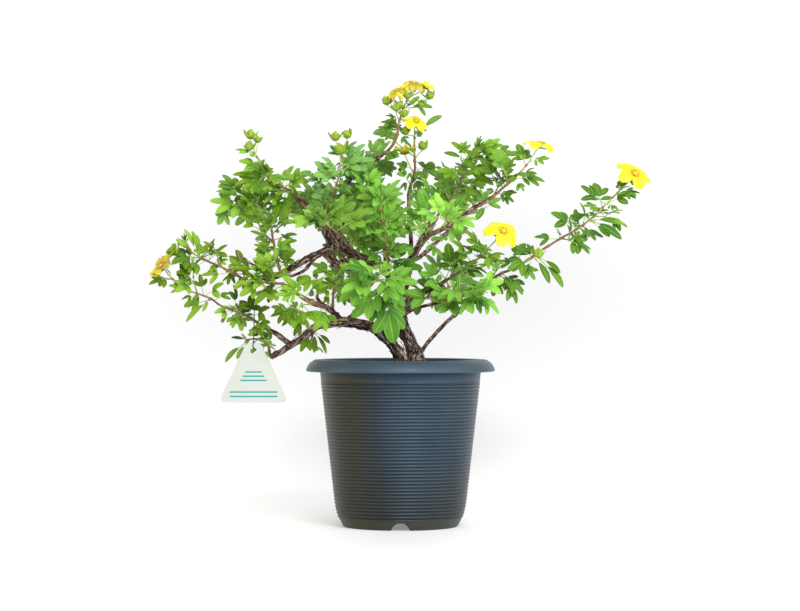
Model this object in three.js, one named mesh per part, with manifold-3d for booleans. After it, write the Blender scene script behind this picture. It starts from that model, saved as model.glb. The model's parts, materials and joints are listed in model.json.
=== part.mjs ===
// A shrubby cinquefoil in a plastic pot, in millimetres, with +Z up.
// The origin is the middle of the pot's flat underside, and the plant is widest along X.
//
// Each woody limb is a tapering tube bent along a short route. Each mass of foliage grows by a
// seeded rule from one leafy stem, and its twigs, leaves, flowers and buds are fused together.
import * as THREE from "three";
import { mergeVertices } from "three/addons/utils/BufferGeometryUtils.js";
import Module from "manifold-3d";

const wasm = await Module();
wasm.setup();

// Clearance between neighbouring solids
const GAP = 0.3;
const LEAF_GAP = 0.4;

// Pot: a tapering wall that turns in to a foot ring, under a rolled lip
const POT_HEIGHT = 141.5;
const POT_SEGMENTS = 28;
const WALL_THICKNESS = 2.2;
const LIP_RADIUS = 80.2;
const LIP_BOTTOM = 131.5;
const WALL_TOP_RADIUS = 68.4;
const WALL_TURN_RADIUS = 57.2;
const WALL_TURN_HEIGHT = 34;
const FOOT_RADIUS = 48.5;
const FOOT_WIDTH = 4;
const FLOOR_UNDERSIDE = 7;
const FLOOR_THICKNESS = 2.5;
const PAD_RADIUS = 14;
const NOTCH_RADIUS = 7.6;
const NOTCH_DROP = 2;
const NOTCH_COUNT = 4;
const DRAIN_RADIUS = 3.5;
const DRAIN_CIRCLE = 29;
const DRAIN_COUNT = 6;
const CROWN_INSET = 8;
const RIB_COUNT = 8;
const RIB_LOWEST = 19;
const RIB_HIGHEST = 115;
const RIB_WIDTH = 3;
const RIB_DEPTH = 0.6;
const WALL_HEIGHTS = [0, 3, 9, 19, WALL_TURN_HEIGHT, LIP_BOTTOM];
const FLOOR_TOP = FLOOR_UNDERSIDE + FLOOR_THICKNESS;

// Soil, and the level at which the stems are cut flat
const SOIL_TOP = 133.5;
const STEM_FOOT = SOIL_TOP + GAP;

// Limbs: thin ones have fewer sides, and the bark is uneven by a share of the radius
const THIN_LIMB = 2.6;
const LIMB_STEP = 15;
const LIMB_LUMPS = 0.09;
const FLARE_LENGTH = 10;

// Leaves: a wedge that opens from the twig into three lobes over a keel, as shares of the length
const KEEL_AT = 0.34;
const KEEL_DEPTH = 1.1;
const NOTCH_AT = 0.68;
const NOTCH_SPREAD = 0.13;
const SIDE_AT = 0.66;
const SIDE_SPREAD = 0.42;
const TIP_DROOP = 0.08;
const WEDGE_SHARE = 0.4;

// Growth rule shared by every mass. Leaves turn up, lean along the twig and roll by chance.
const GOLDEN_TURN = 2.39996;
const STEM_RADIUS = 1.5;
const STEM_STEP = 18;
const TWIG_RADIUS = 1.0;
const LEAF_TRIES = 5;
const TRY_TURN = 0.8;
const TRY_SHRINK = 0.07;
const LEAF_LIFT = [0.15, 0.5];
const LEAF_LEAN = [0.25, 0.65];
const LEAF_ROLL = 0.65;
const LEAF_SIZES = [0.85, 1.15];
const SMALLER_AT_TIP = 0.2;
const SPUR_LENGTH = [7, 14];
const SPUR_LEAF_TURN = 1.9;
const SPUR_LEAF_SIZE = 0.9;
const TUFT_AT = 0.985;
const TUFT_LEAF_SIZE = 0.85;
const TOUCH_GAP = 0.05;

// Blooms
const BLOOM_STALK_RADIUS = 0.85;
const PETALS = 5;
const PETAL_NOTCH = 0.5;
const PETAL_LIFT = 0.08;
const FLOWER_THICKNESS = 1.3;
const BUD_WIDTH = 0.85;

// Tag and its thread
const TAG_TOP_WIDTH = 12;
const TAG_FOOT_WIDTH = 57;
const TAG_HEIGHT = 50;
const TAG_CORNER = 5;
const TAG_THICKNESS = 1.2;
const TAG_HOLE_RADIUS = 2.7;
const TAG_HOLE_DROP = 6.4;
const TAG_HOLE_CENTRE = new THREE.Vector3(-123.5, -25, 149.5);
const THREAD_RADIUS = 0.45;

const UP = new THREE.Vector3(0, 0, 1);

// Woody limbs, from the ground outwards: route in millimetres, radius at the base and at the tip.
// A limb is cut clear of those listed before it, so each child meets its parent's bark.
const LIMBS = [
  { name: "trunk", base: 6.9, tip: 3.1, flare: 2.4, grounded: true,
    route: [[17, 0, 128], [14, 0, 142], [9, 0, 153], [3, 2, 166], [-1, 4, 180], [-3, 4, 193], [-4, 3, 202]] },
  { name: "low_left_riser", base: 4.4, tip: 3.5, flare: 1.4, grounded: true,
    route: [[5, -8, 128], [1, -8, 142], [-4, -8, 150], [-11, -9, 157], [-18, -10, 165], [-22, -10, 168]] },
  { name: "low_left_arch", base: 3.5, tip: 2.2,
    route: [[-23, -10, 168], [-32, -10, 171], [-45, -12, 173], [-58, -12, 172], [-70, -11, 169],
      [-82, -9, 162], [-95, -8, 152], [-110, -8, 143]] },
  { name: "left_crown_bough", base: 3.3, tip: 5.0,
    route: [[-4, 3, 203], [-9, 6, 211], [-15, 9, 220], [-24, 12, 226], [-36, 14, 231], [-49, 13, 238],
      [-58, 11, 244]] },
  { name: "right_crown_bough", base: 3.0, tip: 2.1,
    route: [[-3, 3, 201], [2, 0, 212], [6, -3, 220], [11, -5, 230], [17, -6, 240], [25, -4, 253],
      [31, -2, 263]] },
  { name: "right_twin_bough", base: 1.9, tip: 1.5,
    route: [[-1, 4, 188], [5, 9, 203], [9, 12, 219], [13, 13, 231], [18, 13, 242], [24, 12, 255],
      [28, 10, 265]] },
  { name: "right_upper_branch", base: 2.1, tip: 1.6,
    route: [[20, -6, 245], [28, -10, 249], [39, -14, 254], [51, -18, 262], [61, -20, 269], [74, -22, 276]] },
  { name: "far_right_bough", base: 2.0, tip: 1.6,
    route: [[16, -1, 146], [28, -4, 162], [40, -8, 174], [48, -11, 181], [55, -14, 189], [65, -18, 199],
      [72, -21, 206]] },
  { name: "mid_right_bough", base: 2.0, tip: 1.6,
    route: [[-1, 4, 186], [10, -6, 194], [21, -16, 199], [31, -24, 203], [39, -30, 209]] },
  { name: "low_right_bough", base: 1.8, tip: 1.5,
    route: [[0, 3, 177], [9, -8, 183], [20, -18, 187], [32, -27, 190]] },
  { name: "right_back_stub", base: 2.3, tip: 1.7,
    route: [[0, 4, 181], [11, 19, 188], [20, 36, 193]] },
  { name: "left_rising_bough", base: 2.5, tip: 1.6,
    route: [[-49, -12, 173], [-56, -15, 180], [-62, -18, 186], [-74, -20, 190], [-85, -22, 196],
      [-94, -24, 204]] },
  { name: "left_low_stub", base: 1.9, tip: 1.5,
    route: [[-60, -12, 172], [-70, -16, 174], [-77, -20, 179]] },
  { name: "left_fork_bough", base: 2.2, tip: 1.6,
    route: [[-93, -8, 154], [-99, -9, 159], [-104, -10, 163], [-112, -11, 167], [-120, -12, 172]] },
  { name: "left_long_bough", base: 3.3, tip: 2.1,
    route: [[-55, 11, 241], [-61, 8, 236], [-72, 4, 230], [-84, -2, 224], [-93, -8, 219], [-103, -14, 213],
      [-115, -20, 208], [-124, -25, 204], [-132, -28, 201]] },
  { name: "dead_twig", base: 1.6, tip: 0.5,
    route: [[-103, -14, 213], [-112, -18, 216], [-121, -21, 220], [-130, -23, 225], [-136, -24, 230],
      [-139, -24, 234]] },
  { name: "upper_left_bough", base: 3.4, tip: 1.8,
    route: [[-58, 11, 243], [-63, 9, 249], [-69, 7, 258], [-75, 5, 266], [-82, 2, 274], [-88, 0, 280]] },
  { name: "leader_bough", base: 3.1, tip: 1.7,
    route: [[-54, 12, 242], [-51, 18, 263], [-48, 20, 282], [-43, 19, 296], [-36, 16, 304], [-27, 11, 309],
      [-17, 5, 314]] },
  { name: "centre_bough", base: 1.9, tip: 1.5,
    route: [[9, -3, 226], [9, 10, 239], [8, 19, 256], [7, 23, 272], [7, 24, 285]] },
  { name: "front_low_bough", base: 2.2, tip: 1.7,
    route: [[-2, 4, 190], [-5, -12, 194], [-9, -28, 198], [-12, -42, 203]] },
  { name: "back_centre_bough", base: 2.2, tip: 1.6,
    route: [[-3, 4, 194], [-8, 24, 206], [-12, 42, 221], [-14, 56, 236]] },
  { name: "back_right_bough", base: 1.9, tip: 1.6,
    route: [[9, -4, 226], [18, 20, 230], [28, 41, 239], [39, 58, 250]] },
  { name: "back_low_bough", base: 2.3, tip: 1.6,
    route: [[1, 4, 174], [-6, 24, 183], [-14, 48, 191], [-25, 70, 198]] },
];

// Masses of foliage. spacing is the distance between leaves along the stem, spurs the share of
// nodes that carry a short side twig, length the full-grown leaf's length, tuft the leaves at the
// tip, and lift how far the leaves turn up, or hang below nought. A bloom is a flower if it faces
// some way, and a bud if not; its stalk leaves the stem at a share of the stem's length.
const MASSES = [
  { name: "top_mass", seed: 11, spacing: 10, spurs: 0.2, length: 23, tuft: 0,
    route: [[-17, 5, 314], [-9, 1, 321], [-3, -3, 331], [-1, -4, 343], [3, -4, 356], [8, -5, 366]],
    blooms: [
      { at: 1, centre: [11, -6, 375], face: [0.1, -0.35, 0.9], radius: 10.5 },
      { at: 0.8, centre: [-3, -8, 369], face: [-0.25, -0.4, 0.85], radius: 9 },
      { at: 0.9, centre: [25, -1, 366], radius: 4.2 },
      { at: 0.7, centre: [-12, -3, 361], radius: 4.2 },
      { at: 0.62, centre: [-4, -11, 355], radius: 3.8 },
    ] },
  { name: "top_stem_mass", seed: 12, spacing: 10, spurs: 0.35, length: 25, tuft: 0,
    route: [[7, 24, 285], [12, 20, 302], [12, 16, 315], [12, 13, 326], [12, 8, 334]],
    blooms: [
      { at: 1, centre: [13, 1, 343], face: [0.2, -0.6, 0.75], radius: 11 },
      { at: 0.95, centre: [4, 4, 336], radius: 4 },
      { at: 0.55, centre: [19, 14, 324], radius: 4.5 },
      { at: 0.3, centre: [1, 12, 318], face: [-0.1, -0.25, 1], radius: 8 },
    ] },
  { name: "upper_left_mass", seed: 13, spacing: 9.5, spurs: 0.45, length: 28, tuft: 2,
    route: [[-88, 0, 280], [-94, -2, 285], [-101, -4, 288], [-108, -6, 292], [-114, -8, 300],
      [-119, -9, 308], [-123, -10, 316]],
    blooms: [
      { at: 1, centre: [-127, -11, 332], radius: 4.6 },
      { at: 0.98, centre: [-121, -7, 328], radius: 3.4 },
      { at: 0.94, centre: [-128, -13, 322], radius: 4.4 },
    ] },
  { name: "left_upright_mass", seed: 14, spacing: 10, spurs: 0.5, length: 30, tuft: 5,
    route: [[-101, -12, 214], [-105, -6, 228], [-108, 0, 242], [-111, 4, 259], [-116, 6, 268],
      [-123, 8, 274], [-133, 10, 279], [-140, 10, 281]] },
  { name: "upright_mass", seed: 15, spacing: 10, spurs: 0.45, length: 30, tuft: 2,
    route: [[-56, 11, 246], [-57, -2, 266], [-55, -12, 285], [-52, -14, 298], [-50, -14, 310],
      [-49, -14, 316]],
    blooms: [
      { at: 1, centre: [-55, -16, 330], radius: 4.4 },
      { at: 1, centre: [-45, -13, 332], radius: 4.2 },
      { at: 0.97, centre: [-51, -18, 319], radius: 5.4 },
    ] },
  { name: "far_left_upper_mass", seed: 16, spacing: 11, spurs: 0.4, length: 30, tuft: 5,
    route: [[-127, -26, 204], [-133, -25, 210], [-142, -23, 215], [-153, -22, 221], [-165, -21, 226],
      [-176, -20, 232], [-180, -20, 237]] },
  { name: "far_left_lower_mass", seed: 17, spacing: 11, spurs: 0.4, length: 29, tuft: 1,
    route: [[-120, -12, 172], [-130, -12, 179], [-149, -13, 186], [-162, -14, 194], [-179, -14, 200],
      [-189, -14, 207], [-196, -14, 213]],
    blooms: [{ at: 1, centre: [-203, -14, 222], face: [-0.7, -0.1, 0.7], radius: 11.5 }] },
  { name: "left_rising_mass", seed: 18, spacing: 8, spurs: 0.5, length: 29, tuft: 5,
    route: [[-94, -24, 204], [-101, -27, 206], [-109, -32, 206], [-116, -38, 208]] },
  { name: "left_spur_mass", seed: 19, spacing: 9.5, spurs: 0.5, length: 27, tuft: 4,
    route: [[-57, -16, 181], [-57, -20, 195], [-55, -24, 205], [-53, -28, 214]] },
  { name: "left_low_mass", seed: 20, spacing: 9, spurs: 0.5, length: 27, tuft: 4,
    route: [[-77, -20, 179], [-84, -24, 182], [-92, -28, 186]] },
  { name: "left_tip_mass", seed: 21, spacing: 8, spurs: 0.3, length: 27, tuft: 3, lift: [-0.6, -0.2],
    route: [[-110, -8, 145], [-113, -3, 154], [-119, 1, 158], [-127, 4, 159], [-133, 6, 156]] },
  { name: "left_under_mass", seed: 22, spacing: 8, spurs: 0.2, length: 28, tuft: 3, lift: [-0.4, 0],
    route: [[-74, -10, 168], [-75, -2, 161], [-77, 5, 156]] },
  { name: "front_centre_mass", seed: 23, spacing: 9.5, spurs: 0.4, length: 33, tuft: 5,
    route: [[-8, 4, 208], [-10, -16, 217], [-11, -32, 231], [-13, -42, 244], [-15, -50, 258],
      [-16, -54, 270]] },
  { name: "front_low_mass", seed: 24, spacing: 7, spurs: 0.1, length: 40, tuft: 4, lift: [-0.9, -0.5],
    route: [[-12, -42, 203], [-15, -52, 207], [-19, -63, 209]] },
  { name: "right_upper_mass", seed: 25, spacing: 9.5, spurs: 0.5, length: 31, tuft: 6,
    route: [[31, -2, 263], [41, -2, 276], [49, -2, 287], [54, -4, 299], [59, -6, 309], [63, -8, 315]] },
  { name: "right_branch_mass", seed: 26, spacing: 10, spurs: 0.4, length: 29, tuft: 3,
    route: [[74, -22, 276], [85, -24, 285], [94, -26, 293], [102, -27, 301], [109, -28, 309]],
    blooms: [{ at: 1, centre: [115, -28, 321], face: [0.22, -0.1, 1], radius: 13 }] },
  { name: "mid_right_mass", seed: 27, spacing: 7, spurs: 0.3, length: 32, tuft: 3,
    route: [[39, -30, 209], [51, -34, 216], [62, -37, 224], [69, -40, 231]],
    blooms: [{ at: 1, centre: [83, -50, 247], face: [0.1, -0.8, 0.55], radius: 14.5 }] },
  { name: "far_right_mass", seed: 28, spacing: 11, spurs: 0.45, length: 30, tuft: 2,
    route: [[72, -21, 206], [84, -24, 214], [94, -26, 218], [107, -28, 226], [122, -30, 236], [135, -31, 244],
      [149, -31, 252], [162, -31, 262], [172, -30, 272], [183, -29, 283], [188, -28, 288]],
    blooms: [
      { at: 1, centre: [197, -32, 299], face: [0.35, -0.6, 0.7], radius: 14.5 },
      { at: 0.38, centre: [115, -40, 231], radius: 4.6 },
    ] },
  { name: "low_right_mass", seed: 29, spacing: 9, spurs: 0.4, length: 33, tuft: 4, lift: [-0.5, -0.1],
    route: [[32, -27, 190], [41, -38, 193], [51, -48, 197], [61, -56, 199]] },
  { name: "knot_left_mass", seed: 30, spacing: 9, spurs: 0.5, length: 30, tuft: 4,
    route: [[-70, 7, 258], [-76, 16, 259], [-84, 24, 262], [-92, 31, 268]] },
  { name: "centre_left_mass", seed: 31, spacing: 9, spurs: 0.5, length: 31, tuft: 4,
    route: [[-47, 20, 285], [-38, 4, 279], [-29, -10, 275], [-24, -22, 276]] },
  { name: "right_twin_mass", seed: 32, spacing: 9, spurs: 0.5, length: 30, tuft: 4,
    route: [[28, 10, 265], [34, 14, 275], [39, 19, 285], [43, 25, 293]] },
  { name: "back_left_mass", seed: 33, spacing: 11.5, spurs: 0.5, length: 32, tuft: 5,
    route: [[-45, 13, 236], [-51, 38, 244], [-58, 62, 254], [-66, 84, 266], [-72, 98, 275]] },
  { name: "back_centre_mass", seed: 34, spacing: 11.5, spurs: 0.5, length: 32, tuft: 5,
    route: [[-14, 56, 236], [-16, 70, 248], [-19, 86, 262], [-22, 100, 274]] },
  { name: "back_right_mass", seed: 35, spacing: 11.5, spurs: 0.5, length: 32, tuft: 5,
    route: [[39, 58, 250], [48, 72, 259], [58, 88, 268], [65, 98, 275]] },
  { name: "back_low_mass", seed: 36, spacing: 11.5, spurs: 0.5, length: 32, tuft: 5,
    route: [[-25, 70, 198], [-34, 86, 203], [-44, 100, 208]] },
  { name: "back_top_mass", seed: 37, spacing: 11.5, spurs: 0.5, length: 30, tuft: 5,
    route: [[-44, 19, 294], [-38, 40, 302], [-31, 60, 308], [-24, 76, 313]] },
  { name: "right_back_mass", seed: 38, spacing: 11.5, spurs: 0.5, length: 32, tuft: 5,
    route: [[20, 36, 193], [31, 56, 198], [42, 74, 203], [52, 88, 208]] },
  { name: "front_left_mass", seed: 39, spacing: 11.5, spurs: 0.5, length: 32, tuft: 5,
    route: [[-38, 14, 231], [-43, -14, 238], [-50, -40, 246], [-58, -64, 252], [-63, -80, 257]] },
  { name: "front_right_mass", seed: 40, spacing: 11.5, spurs: 0.5, length: 32, tuft: 5,
    route: [[15, -5, 238], [21, -32, 242], [28, -56, 248], [35, -76, 252], [40, -90, 257]] },
  { name: "front_left_low_mass", seed: 41, spacing: 10, spurs: 0.4, length: 30, tuft: 4,
    route: [[-63, -18, 186], [-68, -44, 188], [-75, -66, 190], [-81, -82, 195]] },
];

// Solids

function solidOf(geometry) {
  const bare = new THREE.BufferGeometry();
  bare.setAttribute("position", geometry.getAttribute("position").clone());
  if (geometry.index) bare.setIndex(geometry.index.clone());
  const merged = mergeVertices(bare, 1e-4);
  return new wasm.Manifold(new wasm.Mesh({
    numProp: 3,
    vertProperties: new Float32Array(merged.attributes.position.array),
    triVerts: new Uint32Array(merged.index.array),
  }));
}

function geometryOf(solid) {
  const made = solid.getMesh();
  const positions = new Float32Array(made.numVert * 3);
  for (let i = 0; i < made.numVert; i++) {
    positions.set(made.vertProperties.subarray(i * made.numProp, i * made.numProp + 3), i * 3);
  }
  const geometry = new THREE.BufferGeometry();
  geometry.setAttribute("position", new THREE.BufferAttribute(positions, 3));
  geometry.setIndex(new THREE.BufferAttribute(new Uint32Array(made.triVerts), 1));
  geometry.computeVertexNormals();
  return geometry;
}

// The outer skin of the largest piece: loose scraps are dropped and sealed hollows are filled.
function mainPiece(solid) {
  return solid.decompose().reduce((best, piece) => (piece.volume() > best.volume() ? piece : best));
}

function seeded(seed) {
  let state = seed >>> 0;
  return () => {
    state = (state + 0x6d2b79f5) >>> 0;
    let mixed = Math.imul(state ^ (state >>> 15), state | 1);
    mixed ^= mixed + Math.imul(mixed ^ (mixed >>> 7), mixed | 61);
    return ((mixed ^ (mixed >>> 14)) >>> 0) / 4294967296;
  };
}

const between = ([low, high], share) => THREE.MathUtils.lerp(low, high, share);

const vector = (p) => new THREE.Vector3(...p);

const curveOf = (route) => new THREE.CatmullRomCurve3(route.map(vector), false, "catmullrom", 0.5);

// A cylinder whose rings are moved onto a curve, each with its own radius. extra widens and
// lengthens it all round, and lumps makes its bark uneven.
function tube(curve, radiusAt, sides, steps, { extra = 0, lumps = 0 } = {}) {
  const frames = curve.computeFrenetFrames(steps, false);
  const shape = new THREE.CylinderGeometry(1, 1, 1, sides, steps);
  const place = shape.attributes.position;
  const sideAngle = (2 * Math.PI) / sides;
  for (let i = 0; i < place.count; i++) {
    const along = place.getY(i) + 0.5;
    const ring = Math.round(along * steps);
    const side = (Math.round(Math.atan2(place.getX(i), place.getZ(i)) / sideAngle) + sides) % sides;
    const uneven = 1 + lumps * Math.sin(ring * 2.4 + side * 2.1);
    const radius = radiusAt(along) * uneven + extra;
    const endShift = ring === 0 ? -extra : ring === steps ? extra : 0;
    const across = new THREE.Vector3().crossVectors(frames.normals[ring], frames.tangents[ring]);
    const point = curve.getPointAt(along)
      .addScaledVector(frames.normals[ring], place.getX(i) * radius)
      .addScaledVector(across, place.getZ(i) * radius)
      .addScaledVector(frames.tangents[ring], endShift);
    place.setXYZ(i, point.x, point.y, point.z);
  }
  return shape;
}

// Room between pieces

// A convex body for clearance tests: points, widened by round. A pair of points is a capsule.
function convexBody(points, round = 0) {
  const centre = points.reduce((sum, p) => sum.add(p), new THREE.Vector3()).divideScalar(points.length);
  const reach = Math.max(...points.map((p) => p.distanceTo(centre))) + round;
  const edges = [];
  const normals = [];
  for (let i = 0; i < points.length; i++) {
    for (let j = i + 1; j < points.length; j++) {
      edges.push(points[j].clone().sub(points[i]));
    }
  }
  if (points.length > 2) {
    for (let i = 0; i < edges.length; i++) {
      for (let j = i + 1; j < edges.length; j++) {
        normals.push(new THREE.Vector3().crossVectors(edges[i], edges[j]));
      }
    }
  }
  return { points, round, centre, reach, edges, normals };
}

function gapAlong(axis, a, b) {
  const size = axis.length();
  if (size < 1e-6) return -Infinity;
  let [lowA, highA, lowB, highB] = [Infinity, -Infinity, Infinity, -Infinity];
  for (const p of a.points) {
    const d = p.dot(axis) / size;
    lowA = Math.min(lowA, d);
    highA = Math.max(highA, d);
  }
  for (const p of b.points) {
    const d = p.dot(axis) / size;
    lowB = Math.min(lowB, d);
    highB = Math.max(highB, d);
  }
  return Math.max(lowB - highA, lowA - highB) - a.round - b.round;
}

// True if some plane parts the two bodies by at least the clearance.
function areClear(a, b, clearance) {
  if (a.centre.distanceTo(b.centre) > a.reach + b.reach + clearance) return true;
  const parts = (axis) => gapAlong(axis, a, b) >= clearance;
  if (parts(b.centre.clone().sub(a.centre))) return true;
  if (a.normals.some(parts) || b.normals.some(parts)) return true;
  const cross = new THREE.Vector3();
  if (a.edges.some((e) => b.edges.some((f) => parts(cross.crossVectors(e, f))))) return true;
  const line = new THREE.Line3();
  const nearest = new THREE.Vector3();
  const [thin, other] = a.points.length === 2 ? [a, b] : [b, a];
  if (thin.points.length !== 2) return false;
  line.set(thin.points[0], thin.points[1]);
  return other.points.some((p) => parts(line.closestPointToPoint(p, true, nearest).sub(p)));
}

function capsulesAlong(curve, radiusAt, steps) {
  const bodies = [];
  for (let i = 0; i < steps; i++) {
    const ends = [curve.getPointAt(i / steps), curve.getPointAt((i + 1) / steps)];
    bodies.push(convexBody(ends, Math.max(radiusAt(i / steps), radiusAt((i + 1) / steps))));
  }
  return bodies;
}

// Pot and soil

// Outside radius of the wall at a height: straight above the turn, and rounded in to the foot.
function wallRadius(height) {
  if (height >= WALL_TURN_HEIGHT) {
    const share = (height - WALL_TURN_HEIGHT) / (LIP_BOTTOM - WALL_TURN_HEIGHT);
    return THREE.MathUtils.lerp(WALL_TURN_RADIUS, WALL_TOP_RADIUS, share);
  }
  const drop = 1 - height / WALL_TURN_HEIGHT;
  return WALL_TURN_RADIUS - (WALL_TURN_RADIUS - FOOT_RADIUS) * (0.42 * drop + 0.58 * drop ** 4);
}

// The quarter-round back of the lip, from its lower edge up to its crown.
function lipBack(steps) {
  const crownRadius = LIP_RADIUS - CROWN_INSET;
  const points = [];
  for (let i = 0; i <= steps; i++) {
    const angle = (i / steps) * (Math.PI / 2);
    points.push([
      crownRadius + (LIP_RADIUS - crownRadius) * Math.cos(angle),
      LIP_BOTTOM + (POT_HEIGHT - LIP_BOTTOM) * Math.sin(angle),
    ]);
  }
  return points;
}

function revolve(profile) {
  const points = profile.map(([radius, height]) => new THREE.Vector2(radius, height));
  return new THREE.LatheGeometry(points, POT_SEGMENTS).rotateX(Math.PI / 2);
}

// The outside of the wall, with a few of its ribs. Their feet give the curve above the foot its points.
function ribbedWall() {
  const points = WALL_HEIGHTS.filter((z) => z < RIB_LOWEST - RIB_WIDTH).map((z) => [wallRadius(z), z]);
  for (let i = 0; i < RIB_COUNT; i++) {
    const crest = THREE.MathUtils.lerp(RIB_LOWEST, RIB_HIGHEST, i / (RIB_COUNT - 1));
    for (const side of [-0.5, 0, 0.5]) {
      const z = crest + side * RIB_WIDTH;
      points.push([wallRadius(z) + (side === 0 ? RIB_DEPTH : 0), z]);
    }
  }
  return [...points, [wallRadius(LIP_BOTTOM), LIP_BOTTOM]];
}

function pot() {
  const inside = WALL_HEIGHTS.filter((z) => z > FLOOR_TOP).map((z) => [wallRadius(z) - WALL_THICKNESS, z]);
  const shell = solidOf(revolve([
    [0, 0],
    [PAD_RADIUS, 0],
    [PAD_RADIUS, FLOOR_UNDERSIDE],
    [FOOT_RADIUS - FOOT_WIDTH, FLOOR_UNDERSIDE],
    [FOOT_RADIUS - FOOT_WIDTH, 0],
    ...ribbedWall(),
    [WALL_TOP_RADIUS + 0.6, LIP_BOTTOM + 5.5],
    [LIP_RADIUS - 2, LIP_BOTTOM],
    ...lipBack(3),
    [WALL_TOP_RADIUS - 1, POT_HEIGHT],
    [WALL_TOP_RADIUS - WALL_THICKNESS, POT_HEIGHT - 1.5],
    ...inside.reverse(),
    [wallRadius(FLOOR_TOP) - WALL_THICKNESS, FLOOR_TOP],
    [0, FLOOR_TOP],
  ]));
  const cutters = [];
  for (let i = 0; i < NOTCH_COUNT; i++) {
    const notch = new THREE.CylinderGeometry(NOTCH_RADIUS, NOTCH_RADIUS, 4 * FOOT_WIDTH, 16)
      .translate(0, -FOOT_RADIUS + FOOT_WIDTH / 2, 0)
      .translate(0, 0, -NOTCH_DROP)
      .rotateZ((i * 2 * Math.PI) / NOTCH_COUNT);
    cutters.push(solidOf(notch));
  }
  for (let i = 0; i < DRAIN_COUNT; i++) {
    const hole = new THREE.CylinderGeometry(DRAIN_RADIUS, DRAIN_RADIUS, 4 * FLOOR_THICKNESS, 8)
      .rotateX(Math.PI / 2)
      .translate(DRAIN_CIRCLE, 0, FLOOR_UNDERSIDE)
      .rotateZ(((i + 0.5) * 2 * Math.PI) / DRAIN_COUNT);
    cutters.push(solidOf(hole));
  }
  return geometryOf(shell.subtract(wasm.Manifold.union(cutters)));
}

function soil() {
  const inset = WALL_THICKNESS + GAP + 0.1;
  const bottom = FLOOR_TOP + GAP;
  const heights = [bottom, ...WALL_HEIGHTS.filter((z) => z > bottom && z < SOIL_TOP), SOIL_TOP];
  return revolve([[0, bottom], ...heights.map((z) => [wallRadius(z) - inset, z]), [0, SOIL_TOP]]);
}

// Limbs

function limbShape(limb) {
  const curve = curveOf(limb.route);
  const length = curve.getLength();
  const flare = (along) => (limb.flare ?? 0) * Math.exp((-along * length) / FLARE_LENGTH);
  const radiusAt = (along) => THREE.MathUtils.lerp(limb.base, limb.tip, along) + flare(along);
  const sides = limb.base > THIN_LIMB ? 8 : 6;
  return { curve, radiusAt, sides, steps: Math.max(3, Math.round(length / LIMB_STEP)) };
}

// Builds every limb, and what the foliage needs to stay clear of it.
function growLimbs() {
  const grown = [];
  const ground = solidOf(new THREE.BoxGeometry(120, 120, 60).translate(0, 0, STEM_FOOT - 30));
  for (const limb of LIMBS) {
    const { curve, radiusAt, sides, steps } = limbShape(limb);
    let solid = solidOf(tube(curve, radiusAt, sides, steps, { lumps: LIMB_LUMPS }));
    if (limb.grounded) solid = solid.subtract(ground);
    for (const earlier of grown) solid = solid.subtract(earlier.room);
    grown.push({
      name: limb.name,
      solid: mainPiece(solid),
      room: solidOf(tube(curve, radiusAt, sides, steps, { extra: GAP + 0.05, lumps: LIMB_LUMPS })),
      bodies: capsulesAlong(curve, (along) => radiusAt(along) * (1 + LIMB_LUMPS), steps),
    });
  }
  return grown;
}

// Leaves, flowers and buds

// Axes of a leaf: along its stalk, across it, and its upper face turned to the light.
function leafAxes(along, roll) {
  const forward = along.clone().normalize();
  const face = UP.clone().addScaledVector(forward, -UP.dot(forward));
  if (face.length() < 0.2) face.set(0, -1, 0).addScaledVector(forward, forward.y);
  face.normalize().applyAxisAngle(forward, roll);
  const across = new THREE.Vector3().crossVectors(face, forward);
  return { forward, across, face };
}

// One leaf as a closed blade of 10 faces, with the convex bodies that hold its wedge and lobes.
function leaf(root, along, roll, length) {
  const { forward, across, face } = leafAxes(along, roll);
  const at = (x, y, z) => root.clone()
    .addScaledVector(forward, x * length)
    .addScaledVector(across, y * length)
    .addScaledVector(face, z);
  const right = at(SIDE_AT, -SIDE_SPREAD, 0);
  const rightNotch = at(NOTCH_AT, -NOTCH_SPREAD, 0);
  const tip = at(1, 0, -TIP_DROOP * length);
  const leftNotch = at(NOTCH_AT, NOTCH_SPREAD, 0);
  const left = at(SIDE_AT, SIDE_SPREAD, 0);
  const keel = at(KEEL_AT, 0, -KEEL_DEPTH);
  const outline = [root, right, rightNotch, tip, leftNotch, left];
  const faces = [
    [root, right, left],
    [right, rightNotch, left],
    [rightNotch, leftNotch, left],
    [rightNotch, tip, leftNotch],
    ...outline.map((point, i) => [outline[(i + 1) % outline.length], point, keel]),
  ];
  const rightEdge = root.clone().lerp(right, WEDGE_SHARE);
  const leftEdge = root.clone().lerp(left, WEDGE_SHARE);
  const middle = at(KEEL_AT, 0, 0);
  return {
    geometry: new THREE.BufferGeometry().setFromPoints(faces.flat()),
    wedge: convexBody([root.clone(), rightEdge, leftEdge, keel]),
    lobes: [
      convexBody([rightEdge, right, rightNotch, middle, keel]),
      convexBody([rightNotch, tip, leftNotch, middle, keel]),
      convexBody([leftEdge, left, leftNotch, middle, keel]),
    ],
  };
}

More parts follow.
